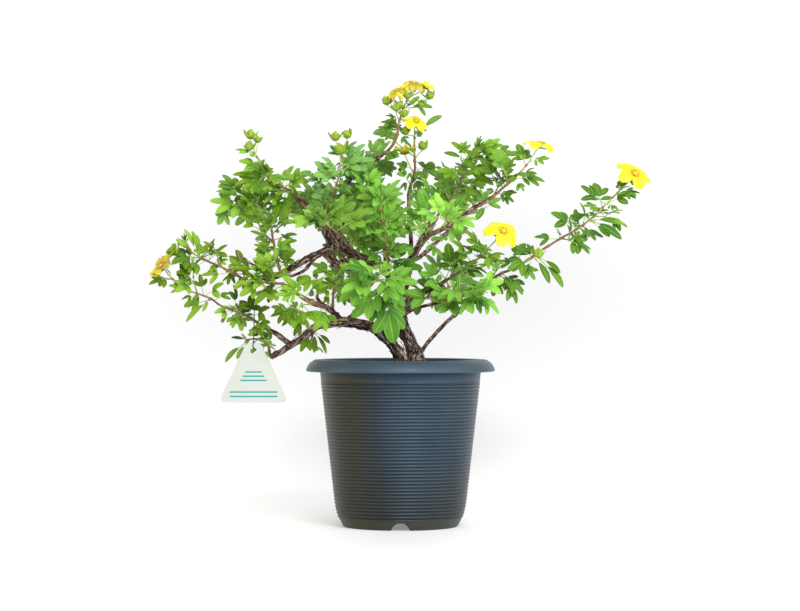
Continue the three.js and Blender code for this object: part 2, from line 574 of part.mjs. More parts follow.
// Five petals as a flat star, thickest at the middle.
function flower(centre, facing, radius) {
  const turn = new THREE.Quaternion().setFromUnitVectors(UP, facing.clone().normalize());
  const at = (x, y, z) => new THREE.Vector3(x, y, z).applyQuaternion(turn).add(centre);
  const rim = [];
  for (let i = 0; i < 2 * PETALS; i++) {
    const angle = (i * Math.PI) / PETALS;
    const reach = i % 2 ? radius * PETAL_NOTCH : radius;
    rim.push(at(reach * Math.cos(angle), reach * Math.sin(angle), radius * PETAL_LIFT));
  }
  const top = at(0, 0, FLOWER_THICKNESS);
  const bottom = at(0, 0, -FLOWER_THICKNESS);
  const faces = rim.flatMap((point, i) => {
    const next = rim[(i + 1) % rim.length];
    return [[point, next, top], [next, point, bottom]];
  });
  const square = [at(-radius, 0, 0), at(radius, 0, 0), at(0, -radius, 0), at(0, radius, 0)];
  return {
    geometry: new THREE.BufferGeometry().setFromPoints(faces.flat()),
    bodies: [convexBody([...square, top, bottom])],
  };
}

function bud(centre, radius) {
  const geometry = new THREE.OctahedronGeometry(radius).scale(BUD_WIDTH, BUD_WIDTH, 1).translate(...centre);
  return { geometry, bodies: [convexBody([centre.clone(), centre.clone().add(UP)], radius)] };
}

// Growth

function directionAround(curve, share, turn) {
  const tangent = curve.getTangentAt(share);
  const reference = Math.abs(tangent.z) > 0.9 ? new THREE.Vector3(1, 0, 0) : UP;
  const side = new THREE.Vector3().crossVectors(tangent, reference).normalize();
  return { tangent, out: side.applyAxisAngle(tangent, turn) };
}

// The stem of a mass with its blooms, which every leaf then keeps clear of.
function growStem(mass) {
  const curve = curveOf(mass.route);
  const length = curve.getLength();
  const radiusAt = (along) => THREE.MathUtils.lerp(STEM_RADIUS, TWIG_RADIUS, along);
  const steps = Math.max(2, Math.round(length / STEM_STEP));
  const pointAt = (share) => {
    const step = Math.min(Math.floor(share * steps), steps - 1);
    return curve.getPointAt(step / steps).lerp(curve.getPointAt((step + 1) / steps), share * steps - step);
  };
  const pieces = [tube(curve, radiusAt, 3, steps)];
  const twigs = capsulesAlong(curve, radiusAt, steps);
  const blooms = [];
  for (const bloom of mass.blooms ?? []) {
    const root = pointAt(Math.min(bloom.at, TUFT_AT));
    const head = vector(bloom.centre);
    const stalk = new THREE.LineCurve3(root, head);
    const made = bloom.face ? flower(head, vector(bloom.face), bloom.radius) : bud(head, bloom.radius);
    pieces.push(tube(stalk, () => BLOOM_STALK_RADIUS, 3, 1), made.geometry);
    blooms.push(...capsulesAlong(stalk, () => BLOOM_STALK_RADIUS, 1), ...made.bodies);
  }
  return { ...mass, curve, pointAt, stemLength: length, pieces, twigs, blooms, wedges: [], lobes: [] };
}

const overPot = (p) => Math.hypot(p.x, p.y) < LIP_RADIUS + 3 && p.z < POT_HEIGHT + 2;

const allClear = (bodies, others, clearance) => {
  return bodies.every((body) => others.every((other) => areClear(body, other, clearance)));
};

// Keeps a leaf that is clear of its surroundings and whose lobes miss the rest of its own mass.
function tryLeaf(mass, surroundings, root, along, roll, length) {
  const { geometry, wedge, lobes } = leaf(root, along, roll, length);
  if (lobes.some((body) => body.points.some(overPot))) return false;
  if (!allClear([wedge, ...lobes], surroundings, LEAF_GAP)) return false;
  const ownLeaves = [...mass.blooms, ...mass.lobes];
  if (!allClear(lobes, [...mass.twigs, ...mass.wedges, ...ownLeaves], TOUCH_GAP)) return false;
  if (!allClear([wedge], ownLeaves, TOUCH_GAP)) return false;
  mass.pieces.push(geometry);
  mass.wedges.push(wedge);
  mass.lobes.push(...lobes);
  return true;
}

// Tries a leaf at one turn after another round its twig, each a little shorter.
function placeLeaf(mass, surroundings, root, out, tangent, random, length) {
  const lift = between(mass.lift ?? LEAF_LIFT, random());
  const lean = between(LEAF_LEAN, random());
  const roll = between([-LEAF_ROLL, LEAF_ROLL], random());
  for (let attempt = 0; attempt < LEAF_TRIES; attempt++) {
    const turned = out.clone().applyAxisAngle(tangent, attempt * TRY_TURN * (attempt % 2 ? 1 : -1));
    const along = turned.addScaledVector(tangent, lean).addScaledVector(UP, lift);
    if (tryLeaf(mass, surroundings, root, along, roll, length * (1 - TRY_SHRINK * attempt))) return;
  }
}

// A short side twig with three leaves at its end, if there is room for it.
function growSpur(mass, surroundings, root, out, tangent, random, size) {
  const reach = between(SPUR_LENGTH, random());
  const end = root.clone()
    .addScaledVector(out, reach * 0.8)
    .addScaledVector(tangent, reach * 0.45)
    .addScaledVector(UP, reach * 0.25);
  const spur = new THREE.LineCurve3(root, end);
  const bodies = capsulesAlong(spur, () => TWIG_RADIUS, 1);
  if (!allClear(bodies, [...surroundings, ...mass.blooms, ...mass.lobes], LEAF_GAP)) return;
  mass.pieces.push(tube(spur, () => TWIG_RADIUS, 3, 1));
  mass.twigs.push(...bodies);
  const way = end.clone().sub(root).normalize();
  for (const k of [-1, 0, 1]) {
    const around = out.clone().applyAxisAngle(tangent, k * SPUR_LEAF_TURN);
    const leafRoot = spur.getPointAt(0.95 - 0.12 * Math.abs(k));
    placeLeaf(mass, surroundings, leafRoot, around, way, random, size * SPUR_LEAF_SIZE);
  }
}

// Leaves all along the stem in a spiral, some of them on short spur twigs, and a tuft at the tip.
function growLeaves(mass, surroundings) {
  const count = Math.floor(mass.stemLength / mass.spacing);
  for (let i = 1; i <= count; i++) {
    const random = seeded(mass.seed * 1000 + i);
    const share = (i - between([0.25, 0.55], random())) / count;
    const turn = mass.seed + i * GOLDEN_TURN + between([-0.25, 0.25], random());
    const { tangent, out } = directionAround(mass.curve, share, turn);
    const root = mass.pointAt(share);
    const size = mass.length * between(LEAF_SIZES, random()) * (1 - SMALLER_AT_TIP * share);
    const grow = random() < mass.spurs ? growSpur : placeLeaf;
    grow(mass, surroundings, root, out, tangent, random, size);
  }
  for (let k = 0; k < mass.tuft; k++) {
    const random = seeded(mass.seed * 1000 + 500 + k);
    const { tangent, out } = directionAround(mass.curve, TUFT_AT, mass.seed + k * GOLDEN_TURN);
    const forward = out.clone().addScaledVector(tangent, 0.5);
    const size = mass.length * TUFT_LEAF_SIZE;
    placeLeaf(mass, surroundings, mass.pointAt(TUFT_AT), forward, tangent, random, size);
  }
}

// Tag and thread

function tag() {
  const half = TAG_FOOT_WIDTH / 2;
  const neck = TAG_TOP_WIDTH / 2;
  const slope = 1.5;
  const top = TAG_HOLE_DROP;
  const foot = TAG_HOLE_DROP - TAG_HEIGHT;
  const outline = new THREE.Shape();
  outline.moveTo(-half + TAG_CORNER, foot);
  outline.lineTo(half - TAG_CORNER, foot);
  outline.quadraticCurveTo(half, foot, half - slope, foot + TAG_CORNER);
  outline.lineTo(neck + slope, top - 2 * slope);
  outline.quadraticCurveTo(neck, top, neck - 2 * slope, top);
  outline.lineTo(-neck + 2 * slope, top);
  outline.quadraticCurveTo(-neck, top, -neck - slope, top - 2 * slope);
  outline.lineTo(-half + slope, foot + TAG_CORNER);
  outline.quadraticCurveTo(-half, foot, -half + TAG_CORNER, foot);
  const hole = new THREE.Path();
  hole.absarc(0, 0, TAG_HOLE_RADIUS, 0, 2 * Math.PI, true);
  outline.holes.push(hole);
  return new THREE.ExtrudeGeometry(outline, { depth: TAG_THICKNESS, bevelEnabled: false, curveSegments: 3 })
    .rotateX(Math.PI / 2)
    .translate(TAG_HOLE_CENTRE.x, TAG_HOLE_CENTRE.y + TAG_THICKNESS / 2, TAG_HOLE_CENTRE.z);
}

const THREAD_LIMB = "left_long_bough";

// A loop round the bough, a straight hanging length, and a loop through the tag's hole.
function thread() {
  const limb = LIMBS.find(({ name }) => name === THREAD_LIMB);
  const { curve, radiusAt } = limbShape(limb);
  let share = 0;
  while (curve.getPointAt(share).x > TAG_HOLE_CENTRE.x) share += 0.01;
  const over = curve.getPointAt(share);
  const loopRadius = radiusAt(share) * (1 + LIMB_LUMPS) + GAP + 2 * THREAD_RADIUS;
  const along = curve.getTangentAt(share);
  const lowest = UP.clone().projectOnPlane(along).setLength(-loopRadius).add(over);
  const upperLoop = new THREE.TorusGeometry(loopRadius, THREAD_RADIUS, 4, 10)
    .applyQuaternion(new THREE.Quaternion().setFromUnitVectors(UP, along))
    .translate(...over);
  const eyeRadius = TAG_THICKNESS / 2 + THREAD_RADIUS + 2;
  const eyeCentre = TAG_HOLE_CENTRE.clone().add(new THREE.Vector3(0, 0, TAG_HOLE_RADIUS + 1.6));
  const lowerLoop = new THREE.TorusGeometry(eyeRadius, THREAD_RADIUS, 4, 8)
    .rotateY(Math.PI / 2)
    .translate(...eyeCentre);
  const drop = new THREE.LineCurve3(lowest, eyeCentre.clone().setZ(eyeCentre.z + eyeRadius));
  const pieces = [upperLoop, lowerLoop, tube(drop, () => THREAD_RADIUS * 1.15, 4, 1)];
  return { geometry: geometryOf(wasm.Manifold.union(pieces.map(solidOf))), drop };
}

// Assembly

const materials = {
  pot: new THREE.MeshStandardMaterial({ color: 0x39434a, roughness: 0.42, metalness: 0 }),
  soil: new THREE.MeshStandardMaterial({ color: 0x4a382b, roughness: 1, metalness: 0 }),
  bark: new THREE.MeshStandardMaterial({ color: 0x6b4f42, roughness: 0.9, metalness: 0 }),
  foliage: new THREE.MeshStandardMaterial({ color: 0x5f9a22, roughness: 0.55, metalness: 0 }),
  tag: new THREE.MeshStandardMaterial({ color: 0xf0f4e8, roughness: 0.4, metalness: 0 }),
  thread: new THREE.MeshStandardMaterial({ color: 0x26262a, roughness: 0.8, metalness: 0 }),
};

const plant = new THREE.Group();

function add(name, geometry, material) {
  const mesh = new THREE.Mesh(geometry, material);
  mesh.name = name;
  plant.add(mesh);
}

add("pot", pot(), materials.pot);
add("soil", soil(), materials.soil);

const limbs = growLimbs();
for (const limb of limbs) add(limb.name, geometryOf(limb.solid), materials.bark);

const hanging = thread();
add("tag_thread", hanging.geometry, materials.thread);
add("hang_tag", tag(), materials.tag);

const tagFoot = TAG_HOLE_CENTRE.clone().setZ(TAG_HOLE_CENTRE.z - TAG_HEIGHT + TAG_HOLE_DROP);
const fixedBodies = [
  ...limbs.flatMap((limb) => limb.bodies),
  ...capsulesAlong(hanging.drop, () => 3, 4),
  convexBody([
    TAG_HOLE_CENTRE.clone().add(new THREE.Vector3(-6, 0, 7)),
    TAG_HOLE_CENTRE.clone().add(new THREE.Vector3(6, 0, 7)),
    tagFoot.clone().add(new THREE.Vector3(-TAG_FOOT_WIDTH / 2, 0, 0)),
    tagFoot.clone().add(new THREE.Vector3(TAG_FOOT_WIDTH / 2, 0, 0)),
  ], 1.5),
];

const masses = MASSES.map(growStem);
for (const mass of masses) {
  const others = masses.filter((other) => other !== mass);
  const obstacles = [
    ...fixedBodies,
    ...others.flatMap((other) => [...other.twigs, ...other.blooms, ...other.wedges, ...other.lobes]),
  ];
  growLeaves(mass, obstacles);
}
for (const mass of masses) {
  let solid = wasm.Manifold.union(mass.pieces.map(solidOf));
  for (const limb of limbs) solid = solid.subtract(limb.room);
  add(mass.name, geometryOf(mainPiece(solid)), materials.foliage);
}

export default plant;
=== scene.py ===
# %% [markdown]
# A small shrubby cinquefoil stands in a ribbed plastic pot, trained like a miniature tree.
# The CAD part already holds its pot, its woody limbs and its masses of foliage at their real size.
# Here each of them gets the surface and the fine growth that a camera sees. The CAD solids could
# simply be painted, but bark, leaflets and petals are shapes, so this lesson grows them as meshes
# on the same routes and by the same seeded rule.

# %% Load the CAD frame
import json
import math

import bmesh
import bpy
import numpy as np
from mathutils import Matrix, Vector
from mathutils.kdtree import KDTree

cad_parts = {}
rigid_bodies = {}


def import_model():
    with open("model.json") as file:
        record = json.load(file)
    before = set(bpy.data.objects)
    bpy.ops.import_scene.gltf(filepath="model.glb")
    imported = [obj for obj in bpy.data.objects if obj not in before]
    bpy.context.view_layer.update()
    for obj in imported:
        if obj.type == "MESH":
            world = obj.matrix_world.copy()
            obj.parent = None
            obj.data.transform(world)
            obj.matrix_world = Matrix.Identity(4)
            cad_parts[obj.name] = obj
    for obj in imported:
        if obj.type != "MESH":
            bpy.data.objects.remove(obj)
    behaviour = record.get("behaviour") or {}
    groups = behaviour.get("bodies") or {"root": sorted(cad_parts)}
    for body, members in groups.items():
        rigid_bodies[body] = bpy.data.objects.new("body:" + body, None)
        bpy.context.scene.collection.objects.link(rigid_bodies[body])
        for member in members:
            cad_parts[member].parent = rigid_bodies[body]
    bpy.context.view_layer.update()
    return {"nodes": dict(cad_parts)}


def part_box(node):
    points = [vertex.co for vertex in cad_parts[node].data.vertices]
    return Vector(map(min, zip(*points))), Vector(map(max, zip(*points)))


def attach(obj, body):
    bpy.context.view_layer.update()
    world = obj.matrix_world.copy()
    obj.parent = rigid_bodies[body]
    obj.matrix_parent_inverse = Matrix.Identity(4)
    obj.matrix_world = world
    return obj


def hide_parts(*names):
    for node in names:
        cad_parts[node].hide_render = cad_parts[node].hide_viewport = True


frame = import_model()
MM = 0.001
FULL_TURN = 2 * math.pi

# %% [markdown]
# The photograph was taken level with the lower boughs, from far enough away that the pot's sides
# hardly converge. A long lens on a level camera gives the same drawing. The lens follows from how
# many millimetres one pixel covers at the pot's axis.

# %% Camera
IMAGE_WIDTH = 800
SENSOR_WIDTH = 36
PIXEL_SIZE = 0.85
CAMERA_DISTANCE = 2200
CAMERA_HEIGHT = 187.4
CAMERA_SIDE = -0.4


def put(name, data):
    """Adds an object with this data to the scene."""
    thing = bpy.data.objects.new(name, data)
    bpy.context.scene.collection.objects.link(thing)
    return thing


camera_data = bpy.data.cameras.new("portrait_camera")
camera_data.sensor_width = SENSOR_WIDTH
camera_data.lens = CAMERA_DISTANCE / PIXEL_SIZE * SENSOR_WIDTH / IMAGE_WIDTH
camera = put("portrait_camera", camera_data)
camera.location = Vector((CAMERA_SIDE, -CAMERA_DISTANCE, CAMERA_HEIGHT)) * MM
camera.rotation_euler = (math.pi / 2, 0, 0)
bpy.context.scene.camera = camera
print("Lens in mm:", round(camera_data.lens, 1))

# %% [markdown]
# Everything that follows builds node trees, for surfaces and for shapes. One helper that makes a
# node, sets its sockets and links it keeps each tree to a few readable lines. Four short ones stand
# on it for what comes up most: a step of arithmetic on numbers or on vectors, a ramp from one value
# to another, and a blend of two colours.

# %% Node helpers
def place(tree, kind, sockets=None, **settings):
    """Adds a node, makes its settings, and sets or links its sockets."""
    node = tree.nodes.new(kind)
    for name, value in settings.items():
        setattr(node, name, value)
    for key, value in (sockets or {}).items():
        if isinstance(value, bpy.types.NodeSocket):
            tree.links.new(value, node.inputs[key])
        else:
            node.inputs[key].default_value = value
    return node


def calculate(tree, operation, *values, **settings):
    """One step of arithmetic on numbers or number sockets."""
    return place(tree, "ShaderNodeMath", dict(enumerate(values)), operation=operation, **settings).outputs[0]


def combine(tree, operation, *vectors, **sockets):
    """One step on vectors. Only a dot product gives a number."""
    sockets.update(enumerate(vectors))
    node = place(tree, "ShaderNodeVectorMath", sockets, operation=operation)
    return node.outputs["Value" if operation == "DOT_PRODUCT" else "Vector"]


def ramp(tree, value, start, end, least=0.0, most=1.0):
    """Runs from least to most while the value runs from start to end."""
    sockets = {"Value": value, "From Min": start, "From Max": end, "To Min": least, "To Max": most}
    return place(tree, "ShaderNodeMapRange", sockets).outputs[0]


def blend(tree, amount, first, second):
    return place(tree, "ShaderNodeMix", {0: amount, 6: first, 7: second}, data_type="RGBA").outputs[2]


def tint(code):
    """A colour written as #rrggbb, as the shader wants it."""
    parts = [int(code[i : i + 2], 16) / 255 for i in (1, 3, 5)]
    return tuple(c / 12.92 if c <= 0.04045 else ((c + 0.055) / 1.055) ** 2.4 for c in parts) + (1,)


# %% [markdown]
# A studio sweep is a floor that curves up into the background, so no horizon shows behind the pot.
# It could be a plane and a wall, but the join would draw a line, so one profile is swept sideways.
# A faint grey shade lies on the paper: behind the pot, before its foot, and on the rise behind the
# crown. Each is a soft oval in the room's own coordinates.

# %% Studio sweep
SWEEP_WIDTH = 12
SWEEP_FRONT = -5
SWEEP_BEND = 3
SWEEP_RADIUS = 1.5
SWEEP_TOP = 6
BEND_STEPS = 16
PAPER_GLOW = 0.39
PAPER_SHADES = (
    dict(centre=(0, 1.2, 0), spread=(0.16, 1.1, 0.12), amount=0.38),
    dict(centre=(0, -0.17, 0), spread=(0.08, 0.17, 0.05), amount=0.3),
    dict(centre=(-0.02, 3.8, 0.24), spread=(0.6, 1.2, 0.26), amount=0.24),
)


def sweep_profile():
    """Depth and height of the paper from its front edge to its top."""
    angles = np.linspace(0, math.pi / 2, BEND_STEPS + 1)
    bend = [(SWEEP_BEND + SWEEP_RADIUS * math.sin(a), SWEEP_RADIUS * (1 - math.cos(a))) for a in angles]
    return [(SWEEP_FRONT, 0.0), *bend, (SWEEP_BEND + SWEEP_RADIUS, SWEEP_TOP)]


profile = sweep_profile()
sweep_mesh = bpy.data.meshes.new("studio_sweep")
sweep_points = [(side * SWEEP_WIDTH / 2, y, z) for y, z in profile for side in (-1, 1)]
sweep_faces = [(2 * i, 2 * i + 1, 2 * i + 3, 2 * i + 2) for i in range(len(profile) - 1)]
sweep_mesh.from_pydata(sweep_points, [], sweep_faces)
sweep_mesh.polygons.foreach_set("use_smooth", [True] * len(sweep_faces))
studio_sweep = put("studio_sweep", sweep_mesh)

paper = bpy.data.materials.new("white_paper")
paper.use_nodes = True
paper_tree = paper.node_tree
paper_shader = paper_tree.nodes["Principled BSDF"].inputs
for label, value in (("Roughness", 0.9), ("Specular IOR Level", 0.1), ("Emission Strength", PAPER_GLOW)):
    paper_shader[label].default_value = value


def shade_paper(light, centre, spread, amount):
    """Takes amount off the light inside a soft oval about centre, in metres."""
    where = place(paper_tree, "ShaderNodeNewGeometry").outputs["Position"]
    scaled = combine(paper_tree, "DIVIDE", combine(paper_tree, "SUBTRACT", where, centre), spread)
    far = combine(paper_tree, "DOT_PRODUCT", scaled, scaled)
    bell = calculate(paper_tree, "POWER", math.exp(-0.5), far)
    kept = calculate(paper_tree, "MULTIPLY_ADD", bell, -amount, 1.0)
    return calculate(paper_tree, "MULTIPLY", light, kept)


paper_light = 1.0
for shade in PAPER_SHADES:
    paper_light = shade_paper(paper_light, **shade)
for label, most in (("Base Color", 0.9), ("Emission Color", 1.0)):
    paper_tree.links.new(calculate(paper_tree, "MULTIPLY", paper_light, most), paper_shader[label])
sweep_mesh.materials.append(paper)
print("Sweep profile points:", len(profile))

# %% [markdown]
# The light in the photograph is broad and nearly shadowless, as from large soft boxes. An even
# world fills the crown. A cool soft light in front models the leaves and the pot's middle. Weaker
# ones at the sides round it off, the left one warm, and a blue one low on the right glances off
# the pot's ribs.

# %% Studio light
WORLD_STRENGTH = 0.62
LIGHT_TARGET = (0, 0, 0.2)


def soft_box(name, location, size, power, colour):
    data = bpy.data.lights.new(name, "AREA")
    data.shape = "RECTANGLE"
    data.size, data.size_y = size
    data.energy = power
    data.color = colour
    light = put(name, data)
    light.location = location
    aim = Vector(LIGHT_TARGET) - light.location
    light.rotation_euler = aim.to_track_quat("-Z", "Y").to_euler()


world = bpy.data.worlds.new("studio")
world.use_nodes = True
background = world.node_tree.nodes["Background"].inputs
background["Color"].default_value = (1, 1, 1, 1)
background["Strength"].default_value = WORLD_STRENGTH
bpy.context.scene.world = world
soft_box("front_box", (0.4, -1.7, 1.3), (1.2, 1.1), 45, (0.99, 0.98, 0.97))
soft_box("left_box", (-1.8, -0.4, 0.9), (0.8, 1.2), 7, (1, 0.9, 0.6))
soft_box("right_box", (1.8, -0.5, 0.9), (0.8, 1.2), 8, (1, 0.97, 0.85))
soft_box("low_blue_box", (1.2, -1.4, 0.5), (1.9, 0.5), 13, (0.4, 0.7, 1))
bpy.context.scene.view_settings.view_transform = "Standard"

# %% [markdown]
# No surface here is one flat colour. Leaves, bark, soil and plastic all vary in soft patches, and
# all have a fine grain that breaks up their gloss. Each material could build this for itself. Two
# shared groups say it once: one mixes two colours in patches, the other turns noise into an uneven
# roughness and a small bump.

# %% Shared surface effects
FLOAT = "NodeSocketFloat"
COLOUR = "NodeSocketColor"
VECTOR = "NodeSocketVector"
BUMP_HEIGHT = 0.0003


def shader_group(name, inputs, outputs):
    """A shader group with named sockets, and its own input and output nodes."""
    group = bpy.data.node_groups.new(name, "ShaderNodeTree")
    for label, kind, value in inputs:
        group.interface.new_socket(label, in_out="INPUT", socket_type=kind).default_value = value
    for label, kind in outputs:
        group.interface.new_socket(label, in_out="OUTPUT", socket_type=kind)
    return group, group.nodes.new("NodeGroupInput").outputs, group.nodes.new("NodeGroupOutput").inputs


def noise_inside(group, scale, detail):
    where = place(group, "ShaderNodeTexCoord").outputs["Object"]
    noise = place(group, "ShaderNodeTexNoise", {"Vector": where, "Scale": scale, "Detail": detail})
    return noise.outputs["Fac"]


def build_patches():
    group, given, result = shader_group(
        "colour_patches",
        [("Main", COLOUR, (1, 1, 1, 1)), ("Patch", COLOUR, (0, 0, 0, 1)), ("Scale", FLOAT, 50),
         ("Edge", FLOAT, 0.15)],
        [("Colour", COLOUR)],
    )
    low, high = (calculate(group, way, 0.5, given["Edge"]) for way in ("SUBTRACT", "ADD"))
    mask = ramp(group, noise_inside(group, given["Scale"], 3.0), low, high)
    group.links.new(blend(group, mask, given["Main"], given["Patch"]), result["Colour"])
    return group


def build_grain():
    group, given, result = shader_group(
        "fine_grain",
        [("Scale", FLOAT, 400), ("Relief", FLOAT, 0.2), ("Smooth", FLOAT, 0.4), ("Rough", FLOAT, 0.6),
         ("Height", FLOAT, 0)],
        [("Roughness", FLOAT), ("Normal", VECTOR)],
    )
    noise = noise_inside(group, given["Scale"], 4.0)
    height = calculate(group, "ADD", noise, given["Height"])
    sockets = {"Strength": given["Relief"], "Distance": BUMP_HEIGHT, "Height": height}
    bump = place(group, "ShaderNodeBump", sockets)
    group.links.new(ramp(group, noise, 0.3, 0.7, given["Smooth"], given["Rough"]), result["Roughness"])
    group.links.new(bump.outputs[0], result["Normal"])
    return group


colour_patches = build_patches()
fine_grain = build_grain()


class Finish:
    """A material with patches and grain, whose base colour can be stained further."""

    def __init__(self, name, main, patch, scale, edge=0.15, grain=400, relief=0.2, gloss=(0.4, 0.6)):
        self.material = bpy.data.materials.new(name)
        self.material.use_nodes = True
        self.tree = self.material.node_tree
        self.shader = self.tree.nodes["Principled BSDF"].inputs
        colours = {"Main": tint(main), "Patch": tint(patch), "Scale": scale, "Edge": edge}
        patches = place(self.tree, "ShaderNodeGroup", colours, node_tree=colour_patches)
        relief = {"Scale": grain, "Relief": relief, "Smooth": gloss[0], "Rough": gloss[1]}
        self.grain = place(self.tree, "ShaderNodeGroup", relief, node_tree=fine_grain)
        self.tree.links.new(patches.outputs["Colour"], self.shader["Base Color"])
        for label in ("Roughness", "Normal"):
            self.tree.links.new(self.grain.outputs[label], self.shader[label])

    def read(self, name):
        """The value of an attribute of the mesh."""
        return place(self.tree, "ShaderNodeAttribute", attribute_name=name).outputs["Fac"]

    def stain(self, mask, colour, most=1.0):
        """Lays one more colour over the base colour wherever the mask is high."""
        before = self.shader["Base Color"].links[0].from_socket
        amount = calculate(self.tree, "MULTIPLY", mask, most, use_clamp=True)
        self.tree.links.new(blend(self.tree, amount, before, tint(colour)), self.shader["Base Color"])

    def stain_range(self, name, start, end, colour, most):
        """Stains from nothing where the attribute is at start to the most where it is at end."""
        self.stain(ramp(self.tree, self.read(name), start, end), colour, most)


print("Shared groups:", colour_patches.name, fine_grain.name)

# %% [markdown]
# A piece is a mesh with a few attributes that its material reads. Writing one from arrays is fast
# and says exactly where each point lies. Sizes stay in millimetres until this one step.

# %% Mesh helpers
def make_piece(name, points, faces, finish=None, smooth=True, attributes=None, edges=()):
    """Links a mesh given in millimetres. attributes maps a name to one number or vector a point."""
    mesh = bpy.data.meshes.new(name)
    mesh.from_pydata((np.asarray(points, float) * MM).tolist(), list(edges), faces)
    mesh.polygons.foreach_set("use_smooth", [smooth] * len(mesh.polygons))
    for label, values in (attributes or {}).items():
        values = np.asarray(values, np.float32)
        kind, field = ("FLOAT", "value") if values.ndim == 1 else ("FLOAT_VECTOR", "vector")
        mesh.attributes.new(label, kind, "POINT").data.foreach_set(field, values.ravel())
    if finish:
        mesh.materials.append(finish.material)
    return put(name, mesh)


class MeshParts:
    """Collects many small meshes, each with the same attributes, into one."""

    def __init__(self):
        self.points = []
        self.faces = []
        self.attributes = {}

    def add(self, points, faces, **attributes):
        start = len(self.points)
        self.points.extend(np.asarray(points, float).tolist())
        self.faces.extend([[start + i for i in face] for face in faces])
        for name, values in attributes.items():
            spread = np.broadcast_to(values, (len(points),)).tolist()
            self.attributes.setdefault(name, []).extend(spread)

    def piece(self, name, finish, smooth=True):
        return make_piece(name, self.points, self.faces, finish, smooth, self.attributes)


def ring_faces(rings, sides, first=0, closed=False):
    """Four-sided faces between rings of points that follow each other from the first point."""
    faces = []
    for i in range(rings if closed else rings - 1):
        a, b = first + i * sides, first + (i + 1) % rings * sides
        faces += [(a + j, a + (j + 1) % sides, b + (j + 1) % sides, b + j) for j in range(sides)]
    return faces


def face_outwards(piece):
    """Merges doubled points and turns every face of each closed shell outwards."""
    shape = bmesh.new()
    shape.from_mesh(piece.data)
    bmesh.ops.remove_doubles(shape, verts=shape.verts, dist=1e-7)
    bmesh.ops.recalc_face_normals(shape, faces=shape.faces)
    shape.to_mesh(piece.data)
    shape.free()
    return piece


def seat(piece, slot, *nodes):
    """Makes a piece ride with the plant and hides the CAD nodes that it stands for. The slot is not used."""
    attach(piece, "root")
    if nodes:
        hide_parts(*nodes)
    triangles = sum(len(polygon.vertices) - 2 for polygon in piece.data.polygons)
    print(piece.name, "triangles:", triangles)


# %% [markdown]
# Ribs, bark, twigs and leaves all follow a rule, so Geometry Nodes make them. A tree is built once
# with named inputs. Running it on a piece and keeping the result as a plain mesh means that nothing
# is left to evaluate later.

# %% Geometry Nodes helpers
def geometry_tree(name, **inputs):
    """A tree with a geometry going in and out, a finish going in, and its other inputs by name."""
    tree = bpy.data.node_groups.new(name, "GeometryNodeTree")
    for way in ("INPUT", "OUTPUT"):
        tree.interface.new_socket("Geometry", in_out=way, socket_type="NodeSocketGeometry")
    for label, kind in dict(inputs, Finish="NodeSocketMaterial").items():
        tree.interface.new_socket(label, in_out="INPUT", socket_type=kind)
    return tree, tree.nodes.new("NodeGroupInput").outputs, tree.nodes.new("NodeGroupOutput").inputs


def named(tree, name, data_type="FLOAT"):
    return place(tree, "GeometryNodeInputNamedAttribute", {"Name": name}, data_type=data_type).outputs[0]


def store(tree, geometry, name, value, domain="POINT"):
    sockets = {"Geometry": geometry, "Name": name, "Value": value}
    kept = place(tree, "GeometryNodeStoreNamedAttribute", sockets, data_type="FLOAT", domain=domain)
    return kept.outputs[0]


def move(tree, geometry, offset):
    return place(tree, "GeometryNodeSetPosition", {"Geometry": geometry, "Offset": offset}).outputs[0]


def deal_out(tree, points, collection, **sockets):
    """Puts one of a collection's shapes on every point."""
    sockets = {label.replace("_", " "): socket for label, socket in sockets.items()}
    shapes = place(tree, "GeometryNodeCollectionInfo", {"Collection": collection, "Separate Children": True,
                                                        "Reset Children": True}).outputs[0]
    sockets.update({"Points": points, "Instance": shapes, "Pick Instance": True})
    return place(tree, "GeometryNodeInstanceOnPoints", sockets).outputs[0]


def close_tree(tree, geometry, given, result):
    """Every tree ends the same way: instances realized, and one material set."""
    real = place(tree, "GeometryNodeRealizeInstances", {"Geometry": geometry}).outputs[0]
    dressed = place(tree, "GeometryNodeSetMaterial", {"Geometry": real, "Material": given["Finish"]})
    tree.links.new(dressed.outputs[0], result["Geometry"])
    return tree


def run_tree(piece, tree, finish, **values):
    """Sets the inputs by their identifiers, keeps the result and removes the modifier."""
    values["Finish"] = finish.material
    modifier = piece.modifiers.new(tree.name, "NODES")
    modifier.node_group = tree
    for item in tree.interface.items_tree:
        if item.in_out == "INPUT" and item.name in values:
            modifier[item.identifier] = values[item.name]
    depsgraph = bpy.context.evaluated_depsgraph_get()
    made = bpy.data.meshes.new_from_object(
        piece.evaluated_get(depsgraph), preserve_all_data_layers=True, depsgraph=depsgraph
    )
    piece.modifiers.remove(modifier)
    piece.data = made
    return piece


# %% [markdown]
# The pot is moulded from dark slate-grey plastic, with fine ribs round the wall and a rolled lip.
# A bump map could fake the ribs, but they catch the light and break the outline, so they are
# raised in the mesh. The wall is turned on a lathe with rings close enough together to carry them.

# %% Pot profile
POT_HEIGHT = 141.5
POT_SEGMENTS = 144
WALL_THICKNESS = 2.2
LIP_RADIUS = 80.2
LIP_BOTTOM = 131.5
LIP_STEPS = 18
LIP_FLATNESS = 1.22
LIP_BEAD = 0.5
LIP_BEAD_AT = 0.72
WALL_TOP_RADIUS = 68.4
WALL_TURN_RADIUS = 57.2
WALL_TURN_HEIGHT = 34
FOOT_RADIUS = 48.5
FOOT_WIDTH = 4
FOOT_EDGE = 0.6
FLOOR_UNDERSIDE = 7
FLOOR_THICKNESS = 2.5
CROWN_INSET = 8
RIB_PITCH = 2.875
RIB_BAND = (8.4, 123.4)
RIB_DEPTH = 0.7
RINGS_PER_RIB = 8
LIP_SHADE = 7


